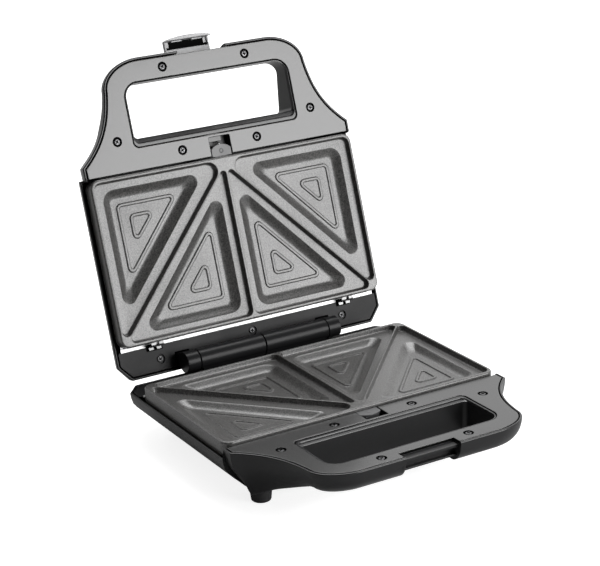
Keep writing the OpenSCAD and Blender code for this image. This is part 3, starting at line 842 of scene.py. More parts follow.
def catch_channel(bm):
    """Floor, sides and stop of the channel in which the plate catch slides, and the walls beside it."""
    back = -WINDOW_REAR - 0.6
    side, floor_top, floor_under = (9.6, 11.4), 9.6, 11.0
    centred(bm, 12, (back, WELL_Y), (floor_top, floor_under))
    both_blocks(bm, side, (back, WELL_Y), (TRIM_UNDER, floor_under), 0.2)
    block(bm, (-9.8, 2.5), (back, -13.2), (TRIM_UNDER - 0.1, TRIM_UNDER + 0.6), 0.2)
    both_blocks(bm, (NOTCH_X + 0.3, HALF_W - 3.5), (WELL_Y - 1.8, WELL_Y), (TRIM_UNDER + 0.2, 13), 0.2)
    both_blocks(bm, (NOTCH_X + 2, HALF_W - 16), (WELL_Y - 1.7, WELL_Y - 0.1), (12, 24), 0.2)


def on_rim(face):
    """Whether a face of a housing is on the grip's outer rim or on the lip of its finger opening."""
    place = face.calc_center_median()
    top = top_depth(place.y)
    around_window = abs(place.x) < WINDOW_X and -WINDOW_FRONT < place.y < -WINDOW_REAR
    in_notch = abs(place.x) < NOTCH_X + 1 and place.y > -WINDOW_REAR - 1
    lip = 2.2 if around_window or in_notch else 1.0
    return place.y < WELL_Y - 1 and -place.z < top + lip


def finish_housing(piece, half, bm):
    """Joins the inner walls to a housing's shell, and finishes it."""
    bm.from_mesh(piece.data)
    bm.to_mesh(piece.data)
    bm.free()
    finish_piece(piece, half, ["satin_black", "rim_black"], half + "_housing", 32,
                 second=on_rim)


def base_housing():
    """The lower housing: its grip has a step and a shelf for the clip, and its back the cord's hole."""
    piece = housing_shell("base")
    reach, bottom = LATCH_W / 2, DEPTH["base"]
    cut_box(piece, reach, (-HANDLE_Y - 2, LATCH_Y), (-2, bottom))
    cut_box(piece, reach + 0.01, (-HANDLE_Y - 3, -WINDOW_FRONT + 2.1), (LATCH_D, bottom + 1))
    cut_holes(piece, CORD_HOLE_R, 12, [(CORD.x, REAR_Y - 10, CORD.y)], (0, 1, 0))
    bm = bmesh.new()
    catch_channel(bm)
    grip_cheeks(bm, reach + 0.2, (-HANDLE_Y, LATCH_Y + 3))
    centred(bm, reach + 1.5, (LATCH_Y + 0.1, LATCH_Y + 1.8), (TRIM_UNDER + 0.1, LATCH_D), 0.2)
    centred(bm, reach + 1, (LATCH_Y - 3.5, -WINDOW_FRONT + 0.9), (LATCH_D - 1.6, LATCH_D), 0.4)
    centred(bm, reach - 0.05, (LATCH_Y - 6, LATCH_Y + 0.2), (5.2, 7.6), 0.5)
    finish_housing(piece, "base", bm)


def lid_housing():
    """The upper housing: its grip has a recess for the clip, and its outer face two lamp holes."""
    piece = housing_shell("lid")
    reach, bottom = RECESS_W / 2, DEPTH["lid"]
    back = CLIP_PIVOT.x + 4
    cut_box(piece, reach, (-HANDLE_Y - 2, back), (-2, bottom + 1))
    cut_holes(piece, LAMP_HOLE_R, 9, [(side * LAMP.x, LAMP.y, -bottom - 2) for side in (-1, 1)], (0, 0, 1))
    bm = bmesh.new()
    catch_channel(bm)
    grip_cheeks(bm, reach + 0.2, (-HANDLE_Y, back + 1))
    centred(bm, reach + 1.5, (back + 0.1, back + 1.8), (TRIM_UNDER + 0.1, GRIP_D - 1.2), 0.2)
    finish_housing(piece, "lid", bm)


# ---------------------------------------------------------------- trims and covers

def panel(bm, outer, holes, sockets, top, thickness, edge):
    """A flat panel with rounded edges, openings, and round screw sockets.

    outer and each hole are functions that draw their outline into the material.
    """
    profile = edge_round(edge) + [(0, thickness)]
    rims = []
    for shape in (outer, *holes):
        loops = [loop(bm, shape(draw_in), -top - drop) for draw_in, drop in profile]
        skin(bm, loops)
        rims.append((loops[0], loops[-1]))
    steps = ((SOCKET_R + 0.1, 0), (SOCKET_R + 0.03, 0.03), (SOCKET_R, 0.12), (SOCKET_R - 0.1, SOCKET_D),
             (SOCKET_BORE, SOCKET_D), (SOCKET_BORE, thickness))
    for centre in sockets:
        loops = [loop(bm, ring(radius, centre), -top - drop) for radius, drop in steps]
        skin(bm, loops)
        rims.append((loops[0], loops[-1]))
    cap(bm, [first for first, last in rims])
    cap(bm, [last for first, last in rims])


def on_both_sides(places):
    return [place for x, y in places for place in ([(x, y), (-x, y)] if x else [(x, y)])]


def trim_outline(gap, front_cut):
    """Outline of the handle trim inside the housing's rim, with the catch notch."""
    side = inset(outline(), gap)[1:len(handle_side())]
    rear_y = WELL_Y - 0.1
    rear = ((LEG_END_X - gap, rear_y), (NOTCH_X, rear_y), (NOTCH_X, NOTCH_Y), (0, NOTCH_Y))
    rear = rounded(((0, -40), side[-1], *rear), (0, 0, 1.0, 0.5, 0.8, 0), 3)[2:-1]
    front = []
    if front_cut:
        reach, back = front_cut
        front_y = -HANDLE_Y + gap
        corners = ((0, back), (reach, back), (reach, front_y), (CORNER.x, front_y))
        front = rounded(corners, (0, 0.8, 0.6, 0), 3)[1:-1]
    return mirrored(front + side + rear)


def handle_trim(half, front_cut=None):
    """The gloss panel around a finger opening; the front cut is (half its width, its back)."""
    drawn = trim_outline(panel_gap(), front_cut)
    bm = bmesh.new()
    panel(bm, lambda draw_in: inset(drawn, draw_in), [lambda draw_in: window(-draw_in)],
          on_both_sides(TRIM_SCREWS), TRIM_DROP, TRIM_T, sizes().trim_edge / MM)
    piece = new_object(half + "_handle_trim", bm)
    # Faces more than 0.5 mm below the top, in the seam, under the trim and in the screw sockets, take the
    # near-black painted shade.
    finish_piece(piece, half, ["gloss_black", "painted_socket_shade"], half + "_trim", 35,
                 second=lambda face: -face.calc_center_median().z > TRIM_DROP + 0.5)


def cover_outline(gap, slots):
    """Outline of the rear cover, with its hook notches and the gaps for the hinge."""
    edge, notch_y = COVER_Y - 1.2, COVER_Y + 2.6
    left, right = HOOK_X - 7, HOOK_X + 7
    chamfer = [(HALF_W, edge), (HALF_W, REAR_Y - CHAMFER.y), (HALF_W - CHAMFER.x, REAR_Y)]
    side, back = inset(mirrored([Vector(p) for p in chamfer]), gap)[1:3]
    gap_y = HINGE_Y - BARREL_R - 0.4
    points = [(0, edge), (left, edge), (left, notch_y), (right, notch_y), (right, edge), (side.x, edge)]
    points += [side, back, (slots[0], back.y), (slots[0], gap_y)]
    points += [(slots[1], gap_y), (slots[1], back.y)] if slots[1] else []
    points.append((0, points[-1][1]))
    radii = [0] + [0.5] * 4 + [1.0, 1.5, 1.5] + [0.5] * (len(points) - 9) + [0]
    return mirrored(rounded(points, radii, 3)[1:-1])


def rear_cover(half, slots):
    """The panel behind a plate; slots are the inner and outer places of its hinge gap."""
    drawn = cover_outline(panel_gap(), slots)
    bm = bmesh.new()
    panel(bm, lambda draw_in: inset(drawn, draw_in), [], on_both_sides(COVER_SCREWS),
          LEDGE_DROP, TRIM_T, 0.35)
    piece = new_object(half + "_back_cover", bm)
    finish_piece(piece, half, ["cover_black"], half + "_rear_cover", 35)


# ---------------------------------------------------------------- cooking plates

def turned_over(three):
    """Swaps the last two of three, which keeps a mirrored triangle anticlockwise."""
    return three[0], three[2], three[1]


def soft_fall(run, top, bottom, steps):
    """A fall between two heights over a run: a quick turn at the top, then a long hollow."""
    places = [i / steps for i in range(steps + 1)]
    return [(run * t ** 1.35, top + (bottom - top) * (3 * t ** 2 - 2 * t ** 3)) for t in places]


def embossed(bm, triangle):
    """A band that follows a triangle: its loops, from the outer foot to the inner one."""
    width, height = sizes().emboss_width / MM, sizes().emboss_height / MM
    profile = [(a, -POCKET_D + height * b) for a, b in EMBOSS_RISE]
    profile += [(width - a, z - 0.01) for a, z in reversed(profile)]
    band = []
    for draw_in, z in profile:
        first, other = max(0.8, 4.2 - draw_in * 0.9), max(0.7, 3.7 - draw_in * 0.9)
        band.append(loop(bm, rounded(inset(triangle, draw_in), [first, other, other], 5), z))
    skin(bm, band)
    return band


def pocket(bm, triangle, ridges):
    """A filling pocket: soft walls down to a flat floor with embossed triangles."""
    run = sizes().pocket_run / MM + 1
    loops = []
    for draw_in, z in soft_fall(run, -BED_D, -POCKET_D, 14):
        share = draw_in / run
        radii = [mix(10, 3.4, share), mix(6.3, 2.5, share), mix(6.3, 2.5, share)]
        loops.append(loop(bm, rounded(inset(triangle, draw_in - 0.6), radii, 8), z))
    skin(bm, loops)
    around = loops[-1]
    for ridge in ridges:
        band = embossed(bm, ridge)
        cap(bm, [around, band[0]])
        around = band[-1]
    cap(bm, [around])
    return loops[0]


def bed(bm, triangle, radii, pocket_triangle, ridges):
    """A bread bed between rounded ridges, with its pocket. Returns its top loop."""
    ridge = sizes().ridge_round / MM
    profile = [(ridge * math.sin(a) - ridge, -ridge * (1 - math.cos(a))) for a in quarter(6)[:-1]]
    profile += [(0.1, -1.6), (0.35, -3.2), (0.55, -3.8), (0.95, -4.3), (1.6, -BED_D)]
    loops = [loop(bm, rounded(inset(triangle, draw_in), [r - draw_in * 0.9 for r in radii], 6), z)
             for draw_in, z in profile]
    skin(bm, loops)
    cap(bm, [loops[-1], pocket(bm, pocket_triangle, ridges)])
    return loops[0]


def cooking_plate(half):
    """A cast plate: two bread beds on the right and their mirror images, and its lugs."""
    bm = bmesh.new()
    x, r = PLATE_W / 2, PLATE_R
    corners = ((-x, 0), (x, 0), (x, PLATE_L), (-x, PLATE_L))
    profile = [(a, -b) for a, b in edge_round(1.3, 5)]
    profile += [(0, 1 - PLATE_T), (0.4, 0.3 - PLATE_T), (1, -PLATE_T)]
    sides = [loop(bm, rounded(inset(corners, a), [r - a] * 4, 8), z) for a, z in profile]
    skin(bm, sides)
    cap(bm, [sides[-1]])
    beds = []
    for mirror in (False, True):
        for radii, *shapes in BEDS:
            if mirror:
                radii = turned_over(radii)
                shapes = [turned_over([(-px, py) for px, py in shape]) for shape in shapes]
            beds.append(bed(bm, shapes[0], radii, shapes[1], shapes[2:]))
    cap(bm, [sides[0], *beds])
    centred(bm, 6, (-2.2, 0.1), (4.8, 7.4))
    both_blocks(bm, (HOOK_X - 4, HOOK_X + 4), (PLATE_L - 0.1, PLATE_L + 2.1), (3.8, 6.2), 0.3)
    centred(bm, x - PLATE_R, (PLATE_L - 0.3, PLATE_L + 0.9), (8.4, 10))
    piece = new_object(half + "_cooking_plate", bm)
    finish_piece(piece, half, ["nonstick"], half + "_plate", 60)


# ---------------------------------------------------------------- hinge, clip and catches

def hinge_rods(bm, x, height, edge, bore):
    """A rod of the hinge on each side, between two places across the part."""
    for side in (-1, 1):
        start, end = sorted((side * x[0], side * x[1]))
        turned(bm, rod_profile(start, end, BARREL_R, edge, bore), (0, HINGE_Y, height), (1, 0, 0), 64)


def hinge_barrels():
    """The fixed barrel in two halves, each bored for its pin, and the blocks that carry it."""
    bm = bmesh.new()
    hinge_rods(bm, (0.3, BARREL_X), 0.4, 0.6, PIN_R + 0.05)
    both_blocks(bm, (0.3, BARREL_X - 2), (HINGE_Y - 7, REAR_Y - 2.3), (0, LEDGE_UNDER), 0.5)
    piece = new_object("fixed_barrel", bm)
    finish_piece(piece, "base", ["barrel_black"], "hinge_barrels", 35)


def hinge_knuckles():
    """The lid's two knuckles, closed at both ends, and the blocks that carry them."""
    bm = bmesh.new()
    inner, outer = BARREL_X + 0.4, BARREL_X + KNUCKLE_L
    hinge_rods(bm, (inner, outer), PLATE_GAP - 0.4, 0.7, 0.0)
    both_blocks(bm, (inner + 0.1, outer - 0.1), (HINGE_Y - BARREL_R + 0.5, REAR_Y - 2.3),
                (0, LEDGE_UNDER + 2), 0.5)
    piece = new_object("lid_hinge_knuckles", bm)
    finish_piece(piece, "lid", ["barrel_black"], "lid_knuckles", 35)


def across_x(bm, profile, places):
    """A solid with one profile in y and z, drawn in by its own amount at each place along x."""
    loops = []
    for x, draw_in in places:
        verts = [bm.verts.new((x, p.x, p.y)) for p in inset(profile, draw_in)]
        loops.append([bm.edges.new(pair) for pair in zip(verts, verts[1:] + verts[:1])])
    skin(bm, loops)
    cap(bm, [loops[0]], (1, 0, 0))
    cap(bm, [loops[-1]], (1, 0, 0))


def rounded_ends(half_width, edge, steps):
    """Places along x of a piece with rounded ends, each with how far its profile is drawn in."""
    ends = [(-half_width + drop, a) for a, drop in edge_round(edge)]
    middle = [(half_width * (2 * i / steps - 1), 0.0) for i in range(1, steps)]
    return ends + middle + [(-x, a) for x, a in reversed(ends)]


def open_clip(bm):
    """Swings the clip from closed to open about its pin."""
    turn = Matrix.Rotation(math.pi / 2, 3, "X")
    bmesh.ops.rotate(bm, cent=(0, CLIP_PIVOT.x, CLIP_PIVOT.y), matrix=turn, verts=bm.verts)


def locking_clip():
    """A broad hook with a crowned free end, drawn closed and then swung open."""
    front, back, end = CLIP_FRONT, -93.98, 12.8
    crown_from, crown_run = 9.7, 3.1
    corners = ((-73.8, -10, 3.3), (-79, -10, 2), (front, -6.5, 1.5), (front, 2.6, 0.4),
               (front - 1.4, 3.1, 0.4), (front - 1.4, 9.0, 0.5), (front, 9.2, 0.3), (-84.6, 9.6, 0.7),
               (-84.6, end, 0.8), (back, end, 3.2), (back, -10.4, 4), (-90.2, -14.2, 3), (-79, -16.8, 2),
               (-73.8, -16.8, 3.3))
    profile = rounded([c[:2] for c in corners], [c[2] for c in corners], 5)
    half = CLIP_W / 2
    bm = bmesh.new()
    across_x(bm, profile, rounded_ends(half, 0.5, 42))
    for vert in bm.verts:
        share = mix(0, 1, (vert.co.z - crown_from) / crown_run)
        past = mix(0, CLIP_CORNER, (abs(vert.co.x) - half + CLIP_CORNER) / CLIP_CORNER)
        corner = CLIP_CORNER - math.sqrt(CLIP_CORNER ** 2 - past ** 2)
        vert.co.z -= share * (CLIP_CROWN - math.sqrt(CLIP_CROWN ** 2 - vert.co.x ** 2) + 0.3 * corner)
    both_blocks(bm, (half - 1.6, half - 0.25), (front - 1.8, front + 0.2), (-9.4, -2.5), 0.3)
    both_blocks(bm, (4.5, 14), (front - 1.6, front + 1.2), (-9.5, -8.3), 0.3)
    open_clip(bm)
    piece = new_object("locking_clip", bm)
    finish_piece(piece, "lid", ["clip_grey"], "clip", 40, body="clip")


def painted_clip_shade():
    """Near-black sheets that paint the shade on the floor of the clip's hollow and on the bar along its edge.
    """
    front, half = CLIP_FRONT, CLIP_W / 2
    bm = bmesh.new()
    centred(bm, half - 4.6, (front - 1.6, front - 1.1), (-9.2, -3.3), 0.15)
    centred(bm, half - 1.7, (front - 1.5, front + 0.3), (-4.4, -2.9), 0.25)
    open_clip(bm)
    piece = new_object("painted_clip_shade", bm)
    finish_piece(piece, "lid", ["painted_socket_shade"], None, 40, body="clip")


def plate_catch(half):
    """A tab with a curved back and a thumb dimple, on its guide block."""
    radius, reach = 13.0, 9.0
    centre_y = -10.6 + radius
    span = math.asin(reach / radius)
    back = [Vector((radius * math.sin(a), centre_y - radius * math.cos(a)))
            for a in [span * (i / 6 - 1) for i in range(13)]]
    tab = back + [Vector((reach, -0.6)), Vector((-reach, -0.6))]
    bm = bmesh.new()
    panel(bm, lambda draw_in: inset(tab, draw_in), [], [], 2.8, 1.6, 0.4)
    centred(bm, 6, (-9.8, -3.9), (4.3, 9.2))
    turned(bm, [(-0.05, 0), (-0.05, 0.5), (0.05, 1.2), (0.22, 1.6), (0.0, 2.0), (-0.3, 2.1), (-0.3, 0)],
           (0, -5, -2.85), (0, 0, 1), 32)
    piece = new_object(half + "_catch_tab", bm)
    finish_piece(piece, half, ["catch_grey"], half + "_catch", 35, body=half + "_catch")


# ---------------------------------------------------------------- small parts

def screw_head():
    """One cross-head screw, its seat at z = 0; the faces inside its cross take the second finish, a
    near-black painted shade.
    """
    bm = bmesh.new()
    dome = [(1.15 - 0.12 * (r / 2.2) ** 2, r) for r in (0, 0.8, 1.6, 1.9, 2.05)]
    rim = [(1.0, 2.2), (0.85, 2.28), (0.3, 2.3), (-0.2, 2.3), (-0.2, 1.2), (-6, 1.2), (-6, 0)]
    turned(bm, dome + rim, (0, 0, 0), (0, 0, 1), 32)
    head = new_object("screw_head", bm)
    long_arm, short_arm = 1.6, 0.5
    for x, y in ((long_arm, short_arm), (short_arm, long_arm)):
        cut_box(head, x, (-y, y), (-2, 0.1))
    # The faces inside the cross recess take the second finish, which paints the shade in the recess.
    for face in head.data.polygons:
        reach = max(abs(face.center.x), abs(face.center.y))
        face.material_index = 1 if -0.15 < face.center.z < 1.0 and reach < long_arm + 0.01 else 0
    return head


def screws(half, kind, places, drop, material):
    """The screws of a trim or a cover, each turned by its own angle."""
    head = screw_head()
    bm = bmesh.new()
    for number, (x, y) in enumerate(on_both_sides(places)):
        start = len(bm.verts)
        bm.from_mesh(head.data)
        bm.verts.ensure_lookup_table()
        verts = bm.verts[start:]
        turn = Matrix.Rotation(math.radians(25 + 37 * number), 3, "Z")
        bmesh.ops.rotate(bm, cent=(0, 0, 0), matrix=turn, verts=verts)
        bmesh.ops.translate(bm, vec=(x, y, -drop - SOCKET_D), verts=verts)
    bpy.data.objects.remove(head)
    piece = new_object(f"{half}_{kind}_fixings", bm)
    # The second finish paints the shade inside each screw's cross.
    finish_piece(piece, half, [material, "painted_socket_shade"], f"{half}_{kind}_screws", 35)


def feet():
    """Four rubber feet, from the ground up to the studs in the tub."""
    bm = bmesh.new()
    profile = [(0, 0), (0, 6.0), (0.15, 6.8), (0.7, 7.4), (1.6, 7.65), (6, 8.1), (9.5, 8.55),
               (11.0, 8.7), (11.6, 8.0), (11.6, 0)]
    for x, y in on_both_sides(FEET):
        turned(bm, profile, (x, y, -RIM_HEIGHT / MM), (0, 0, 1), 48)
    piece = new_object("rubber_feet", bm)
    finish_piece(piece, "base", ["foot_rubber"], "feet", 35)


def cord_bush():
    """The flanged bush in the cord's hole."""
    bm = bmesh.new()
    profile = [(1.8, 3.6), (1.8, 6.8), (1.62, 7.4), (1.0, 7.6), (0.1, 7.6), (-0.1, 5.7), (-7, 5.7), (-7, 3.6)]
    turned(bm, profile, (CORD.x, REAR_Y, CORD.y), (0, 1, 0), 48)
    piece = new_object("inlet_bush", bm)
    finish_piece(piece, "base", ["foot_rubber"], "cord_bush", 35)


def lamp_lens(side, use, material):
    """A domed lens in the lid's outer face, on the left (-1) or the right (1)."""
    bm = bmesh.new()
    dome = [(-0.95 + 0.5 * (r / 3.0) ** 2, r) for r in (0, 0.8, 1.6, 2.3, 2.8)]
    profile = dome + [(-0.1, 3.3), (0.4, 3.45), (2.3, 3.45), (2.3, 0)]
    turned(bm, profile, (side * LAMP.x, LAMP.y, -DEPTH["lid"]), (0, 0, 1), 40)
    piece = new_object(use + "_lens", bm)
    finish_piece(piece, "lid", [material], "lamp_lens_" + use, 40)


def along_path(points):
    """Direction to the left of an open path at each of its points, longer at a bend."""
    ways = [(b - a).normalized() for a, b in zip(points, points[1:])]
    pairs = zip(ways[:1] + ways, ways + ways[-1:])
    return [Vector((-a.y - b.y, a.x + b.x)) / (1 + a.dot(b)) for a, b in pairs]


def plate_hooks(half):
    """Spring-steel hooks that hold the back of a plate, each bent from one strip."""
    bm = bmesh.new()
    front = PLATE_L + 3.1
    path = [Vector(p) for p in ((COVER_Y + 1.9, -9.4), (front, -9.4), (front, -2.6), (PLATE_L + 0.5, -2.9))]
    strip = [path[0], *corner_arc(*path[:3], 0.9, 4), *corner_arc(*path[1:], 1.2, 5), path[3]]
    profile = strip + [p - d * HOOK_SHEET for p, d in reversed(list(zip(strip, along_path(strip))))]
    for centre in (-HOOK_X, HOOK_X):
        for finger in (-3.4, 3.4):
            across_x(bm, profile, [(centre + finger + side, 0.0) for side in (-2, 2)])
    piece = new_object(half + "_hook_springs", bm)
    finish_piece(piece, half, ["hook_steel"], half + "_plate_hooks", 40)


def inner_parts():
    """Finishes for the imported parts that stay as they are."""
    given = {
        "tray_sheet": ("base_tray", "lid_tray"),
        "bright_sheet": ("base_heater_clips", "lid_heater_clips", "hinge_pins", "clip_pin",
                         "thermostat", "thermal_fuse", "base_catch_spring", "lid_catch_spring"),
        "annealed_steel": ("base_heater", "lid_heater"),
        "dark_plating": ("base_tray_screws", "lid_tray_screws"),
        "ceramic_white": ("terminal_block", "wire_sleeve"),
        "board_green": ("lamp_board",),
    }
    for material, names in given.items():
        for name in names:
            mesh = frame["nodes"][name].data
            mesh.materials.clear()
            mesh.materials.append(finish(material))


# ---------------------------------------------------------------- stage

# The camera's place, and its right and up directions.
CAMERA_AT = (-0.69605, -1.18667, 0.61175)
CAMERA_RIGHT = (0.85672421, -0.51473611, -0.03271644)
CAMERA_UP = (0.19845683, 0.27043343, 0.94206191)
LENS = 113.38
BACKDROP_SIDE = (0.476, 0.814, 0.334)


def camera():
    data = bpy.data.cameras.new("view")
    data.lens = LENS
    data.sensor_width = 36.0
    data.sensor_fit = "HORIZONTAL"
    data.clip_start = 0.05
    view = bpy.data.objects.new("view", data)
    right, up = Vector(CAMERA_RIGHT), Vector(CAMERA_UP)
    turned_to = Matrix((right, up, right.cross(up))).transposed().to_4x4()
    view.matrix_world = Matrix.Translation(CAMERA_AT) @ turned_to
    bpy.context.scene.collection.objects.link(view)
    bpy.context.scene.camera = view


def soft_box(name, at, towards, size, power):
    """A rectangular lamp at a place, aimed at another."""
    data = bpy.data.lights.new(name, "AREA")
    data.shape = "RECTANGLE"
    data.size, data.size_y = size
    data.energy = power
    lamp = bpy.data.objects.new(name, data)
    aim = (Vector(towards) - Vector(at)).to_track_quat("-Z", "Y").to_matrix().to_4x4()
    lamp.matrix_world = Matrix.Translation(at) @ aim
    bpy.context.scene.collection.objects.link(lamp)


def floor():
    """A wide grey sheet, made pale only for the camera."""
    bm = bmesh.new()
    bmesh.ops.create_grid(bm, x_segments=1, y_segments=1, size=6)
    plane = new_object("floor", bm)
    material, tree, shader = blank("floor_paper", {
        "Base Color": (0.5, 0.5, 0.5, 1), "Roughness": 0.9, "Specular IOR Level": 0.0,
        "Emission Color": (1, 1, 1, 1)})
    seen = tree.nodes.new("ShaderNodeLightPath").outputs["Is Camera Ray"]
    tree.links.new(math_node(tree, "MULTIPLY", seen, 0.82), shader.inputs["Emission Strength"])
    plane.data.materials.append(material)


def backdrop():
    """A white surround: plain for the camera, and the light that the room gives."""
    world = bpy.data.worlds.new("studio")
    bpy.context.scene.world = world
    world.use_nodes = True
    tree = world.node_tree
    links = tree.links
    shade = tree.nodes["Background"]
    shade.inputs["Color"].default_value = (1, 1, 1, 1)
    path = tree.nodes.new("ShaderNodeLightPath")
    towards = tree.nodes.new("ShaderNodeVectorMath")
    towards.operation = "DOT_PRODUCT"
    towards.inputs[1].default_value = BACKDROP_SIDE
    links.new(object_place(tree, "Generated"), towards.inputs[0])
    fade = new_node(tree, "ShaderNodeMapRange", {"From Max": 0.75, "To Min": 0.05, "To Max": 1.4})
    fade.interpolation_type = "SMOOTHSTEP"
    links.new(towards.outputs["Value"], fade.inputs["Value"])
    fill = math_node(tree, "SUBTRACT", 1.0, path.outputs["Is Glossy Ray"])
    fill = math_node(tree, "MULTIPLY", fill, 0.08)
    room = math_node(tree, "ADD", fade.outputs[0], fill)
    shown = math_node(tree, "MAXIMUM", room, path.outputs["Is Camera Ray"])
    links.new(shown, shade.inputs["Strength"])


# ---------------------------------------------------------------- add-on

class ToasterSizes(bpy.types.PropertyGroup):
    """Sizes of the moulded and cast detail."""
    wall: FloatProperty(name="Wall", description="Thickness of the housings' walls",
                        default=0.0019, min=0.001, max=0.003, unit="LENGTH", precision=4)
    seam: FloatProperty(name="Seam", description="Gap around the trims and covers",
                        default=0.0009, min=0.0001, max=0.001, unit="LENGTH", precision=5)
    rim_round: FloatProperty(name="Rim rounding", description="Radius of the housings' outer rim",
                             default=0.0009, min=0.0001, max=0.0009, unit="LENGTH", precision=5)
    trim_edge: FloatProperty(name="Trim rounding", description="Radius of the trims' edges",
                             default=0.00045, min=0.0001, max=0.0007, unit="LENGTH", precision=5)
    ridge_round: FloatProperty(name="Ridge rounding", description="Radius of the plates' ridges",
                               default=0.00065, min=0.0002, max=0.0007, unit="LENGTH", precision=5)
    pocket_run: FloatProperty(name="Pocket wall", description="Run of a pocket's soft wall",
                              default=0.0076, min=0.005, max=0.009, unit="LENGTH", precision=4)
    emboss_width: FloatProperty(name="Emboss width", description="Width of an embossed band",
                                default=0.0025, min=0.0018, max=0.003, unit="LENGTH", precision=4)
    emboss_height: FloatProperty(name="Emboss height", description="Height of an embossed band",
                                 default=0.0009, min=0.0003, max=0.001, unit="LENGTH", precision=5)


class ToasterColours(bpy.types.PropertyGroup):
    """Colours of the finishes."""
    housing: FloatVectorProperty(name="Housing", description="Satin black plastic of the housings",
                                 subtype="COLOR", default=(0.009, 0.009, 0.0095), min=0, max=1)
    trim: FloatVectorProperty(name="Trim", description="Gloss black plastic of the trims",
                              subtype="COLOR", default=(0.009, 0.009, 0.0095), min=0, max=1)
    coating: FloatVectorProperty(name="Coating", description="Non-stick coating of the plates",
                                 subtype="COLOR", default=(0.052, 0.051, 0.0495), min=0, max=1)
    bright_metal: FloatVectorProperty(name="Bright metal", description="Sheet metal and pins",
                                      subtype="COLOR", default=(0.3, 0.3, 0.3), min=0, max=1)
    clip: FloatVectorProperty(name="Clip", description="Grey plastic of the locking clip",
                              subtype="COLOR", default=(0.3, 0.3, 0.305), min=0, max=1)
    catch: FloatVectorProperty(name="Catch", description="Grey plastic of the plate catches",
                               subtype="COLOR", default=(0.05, 0.05, 0.052), min=0, max=1)


class TOASTER_OT_housings(bpy.types.Operator):
    """Moulded housings of both halves"""
    bl_idname = "toaster.housings"
    bl_label = "Housings"

    def execute(self, context):
        base_housing()
        lid_housing()
        return {"FINISHED"}


class TOASTER_OT_trims(bpy.types.Operator):
    """Gloss trims on the handles"""
    bl_idname = "toaster.trims"
    bl_label = "Handle trims"

    def execute(self, context):
        handle_trim("base", (LATCH_W / 2 + 0.5, LATCH_Y + 0.5))
        handle_trim("lid")
        return {"FINISHED"}


class TOASTER_OT_rear_covers(bpy.types.Operator):
    """Covers behind the cooking plates"""
    bl_idname = "toaster.rear_covers"
    bl_label = "Rear covers"

    def execute(self, context):
        rear_cover("base", (BARREL_X - 1.4, None))
        rear_cover("lid", (BARREL_X + KNUCKLE_L + 0.6, BARREL_X))
        return {"FINISHED"}


class TOASTER_OT_cooking_plates(bpy.types.Operator):
    """Cast plates with bread beds and filling pockets"""
    bl_idname = "toaster.cooking_plates"
    bl_label = "Cooking plates"

    def execute(self, context):
        cooking_plate("base")
        cooking_plate("lid")
        return {"FINISHED"}


class TOASTER_OT_hinge(bpy.types.Operator):
    """Fixed barrel and lid knuckles"""
    bl_idname = "toaster.hinge"
    bl_label = "Hinge"

    def execute(self, context):
        hinge_barrels()
        hinge_knuckles()
        return {"FINISHED"}


class TOASTER_OT_clip(bpy.types.Operator):
    """Locking clip on the lid's grip, with the painted shade in its hollow"""
    bl_idname = "toaster.clip"
    bl_label = "Locking clip"

    def execute(self, context):
        locking_clip()
        painted_clip_shade()
        return {"FINISHED"}


class TOASTER_OT_catches(bpy.types.Operator):
    """Sliding catches and rear hooks that hold the plates"""
    bl_idname = "toaster.catches"
    bl_label = "Catches and hooks"

    def execute(self, context):
        for half in ("base", "lid"):
            plate_catch(half)
            plate_hooks(half)
        return {"FINISHED"}


class TOASTER_OT_screws(bpy.types.Operator):
    """Cross-head screws of the trims and covers"""
    bl_idname = "toaster.screws"
    bl_label = "Screws"

    def execute(self, context):
        for half in ("base", "lid"):
            screws(half, "trim", TRIM_SCREWS, TRIM_DROP, "dark_plating")
            screws(half, "cover", COVER_SCREWS, LEDGE_DROP, "black_oxide")
        return {"FINISHED"}


class TOASTER_OT_feet_and_inlet(bpy.types.Operator):
    """Rubber feet and the bush of the cord inlet"""
    bl_idname = "toaster.feet_and_inlet"
    bl_label = "Feet and cord inlet"

    def execute(self, context):
        feet()
        cord_bush()
        return {"FINISHED"}


class TOASTER_OT_lamps(bpy.types.Operator):
    """Lenses of the power and ready lamps"""
    bl_idname = "toaster.lamps"
    bl_label = "Lamp lenses"

    def execute(self, context):
        lamp_lens(-1, "power", "red_lens")
        lamp_lens(1, "ready", "green_lens")
        return {"FINISHED"}


class TOASTER_OT_inner_parts(bpy.types.Operator):
    """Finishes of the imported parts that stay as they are"""
    bl_idname = "toaster.inner_parts"
    bl_label = "Inner parts"

    def execute(self, context):
        inner_parts()
        return {"FINISHED"}


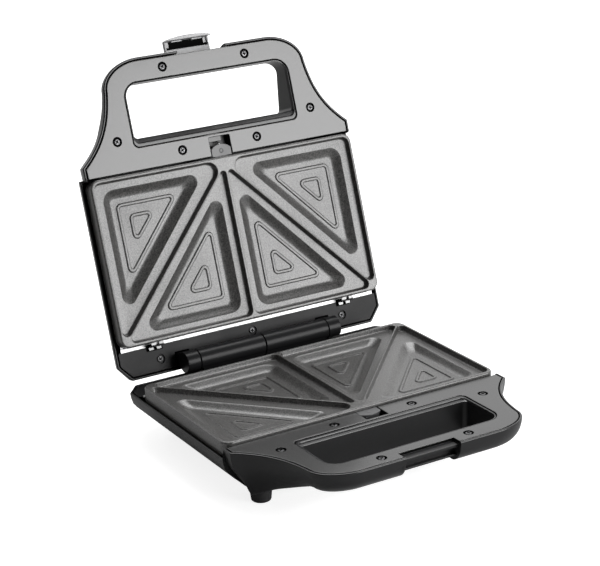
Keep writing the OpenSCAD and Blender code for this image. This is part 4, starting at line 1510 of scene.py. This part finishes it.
class TOASTER_OT_stage(bpy.types.Operator):
    """Floor, backdrop, lights and camera"""
    bl_idname = "toaster.stage"
    bl_label = "Stage"

    def execute(self, context):
        context.scene.view_settings.view_transform = "Standard"
        camera()
        floor()
        backdrop()
        soft_box("key", (1.05, -1.75, 0.66), (0, 0.1, 0.18), (1.25, 1.25), 55)
        soft_box("top", (0.45, 0.75, 1.8), (0, 0, 0.05), (1.4, 1.0), 34)
        return {"FINISHED"}


class TOASTER_PT_panel(bpy.types.Panel):
    """Sizes, colours and pieces of the toaster"""
    bl_idname = "TOASTER_PT_panel"
    bl_label = "Sandwich toaster"
    bl_space_type = "VIEW_3D"
    bl_region_type = "UI"
    bl_category = "Toaster"

    def draw(self, context):
        for group in (context.scene.toaster_sizes, context.scene.toaster_colours):
            for name in group.__annotations__:
                self.layout.prop(group, name)
        for operator in OPERATORS:
            self.layout.operator(operator.bl_idname)


OPERATORS = (TOASTER_OT_housings, TOASTER_OT_trims, TOASTER_OT_rear_covers, TOASTER_OT_cooking_plates,
             TOASTER_OT_hinge, TOASTER_OT_clip, TOASTER_OT_catches, TOASTER_OT_screws,
             TOASTER_OT_feet_and_inlet, TOASTER_OT_lamps, TOASTER_OT_inner_parts, TOASTER_OT_stage)
CLASSES = (ToasterSizes, ToasterColours, *OPERATORS, TOASTER_PT_panel)


def register():
    for one in CLASSES:
        bpy.utils.register_class(one)
    bpy.types.Scene.toaster_sizes = PointerProperty(type=ToasterSizes)
    bpy.types.Scene.toaster_colours = PointerProperty(type=ToasterColours)


def unregister():
    del bpy.types.Scene.toaster_colours
    del bpy.types.Scene.toaster_sizes
    for one in reversed(CLASSES):
        bpy.utils.unregister_class(one)


def main():
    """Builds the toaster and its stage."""
    register()
    bpy.ops.toaster.housings()
    bpy.ops.toaster.trims()
    bpy.ops.toaster.rear_covers()
    bpy.ops.toaster.cooking_plates()
    bpy.ops.toaster.hinge()
    bpy.ops.toaster.clip()
    bpy.ops.toaster.catches()
    bpy.ops.toaster.screws()
    bpy.ops.toaster.feet_and_inlet()
    bpy.ops.toaster.lamps()
    bpy.ops.toaster.inner_parts()
    bpy.ops.toaster.stage()


if __name__ == "__main__":
    main()
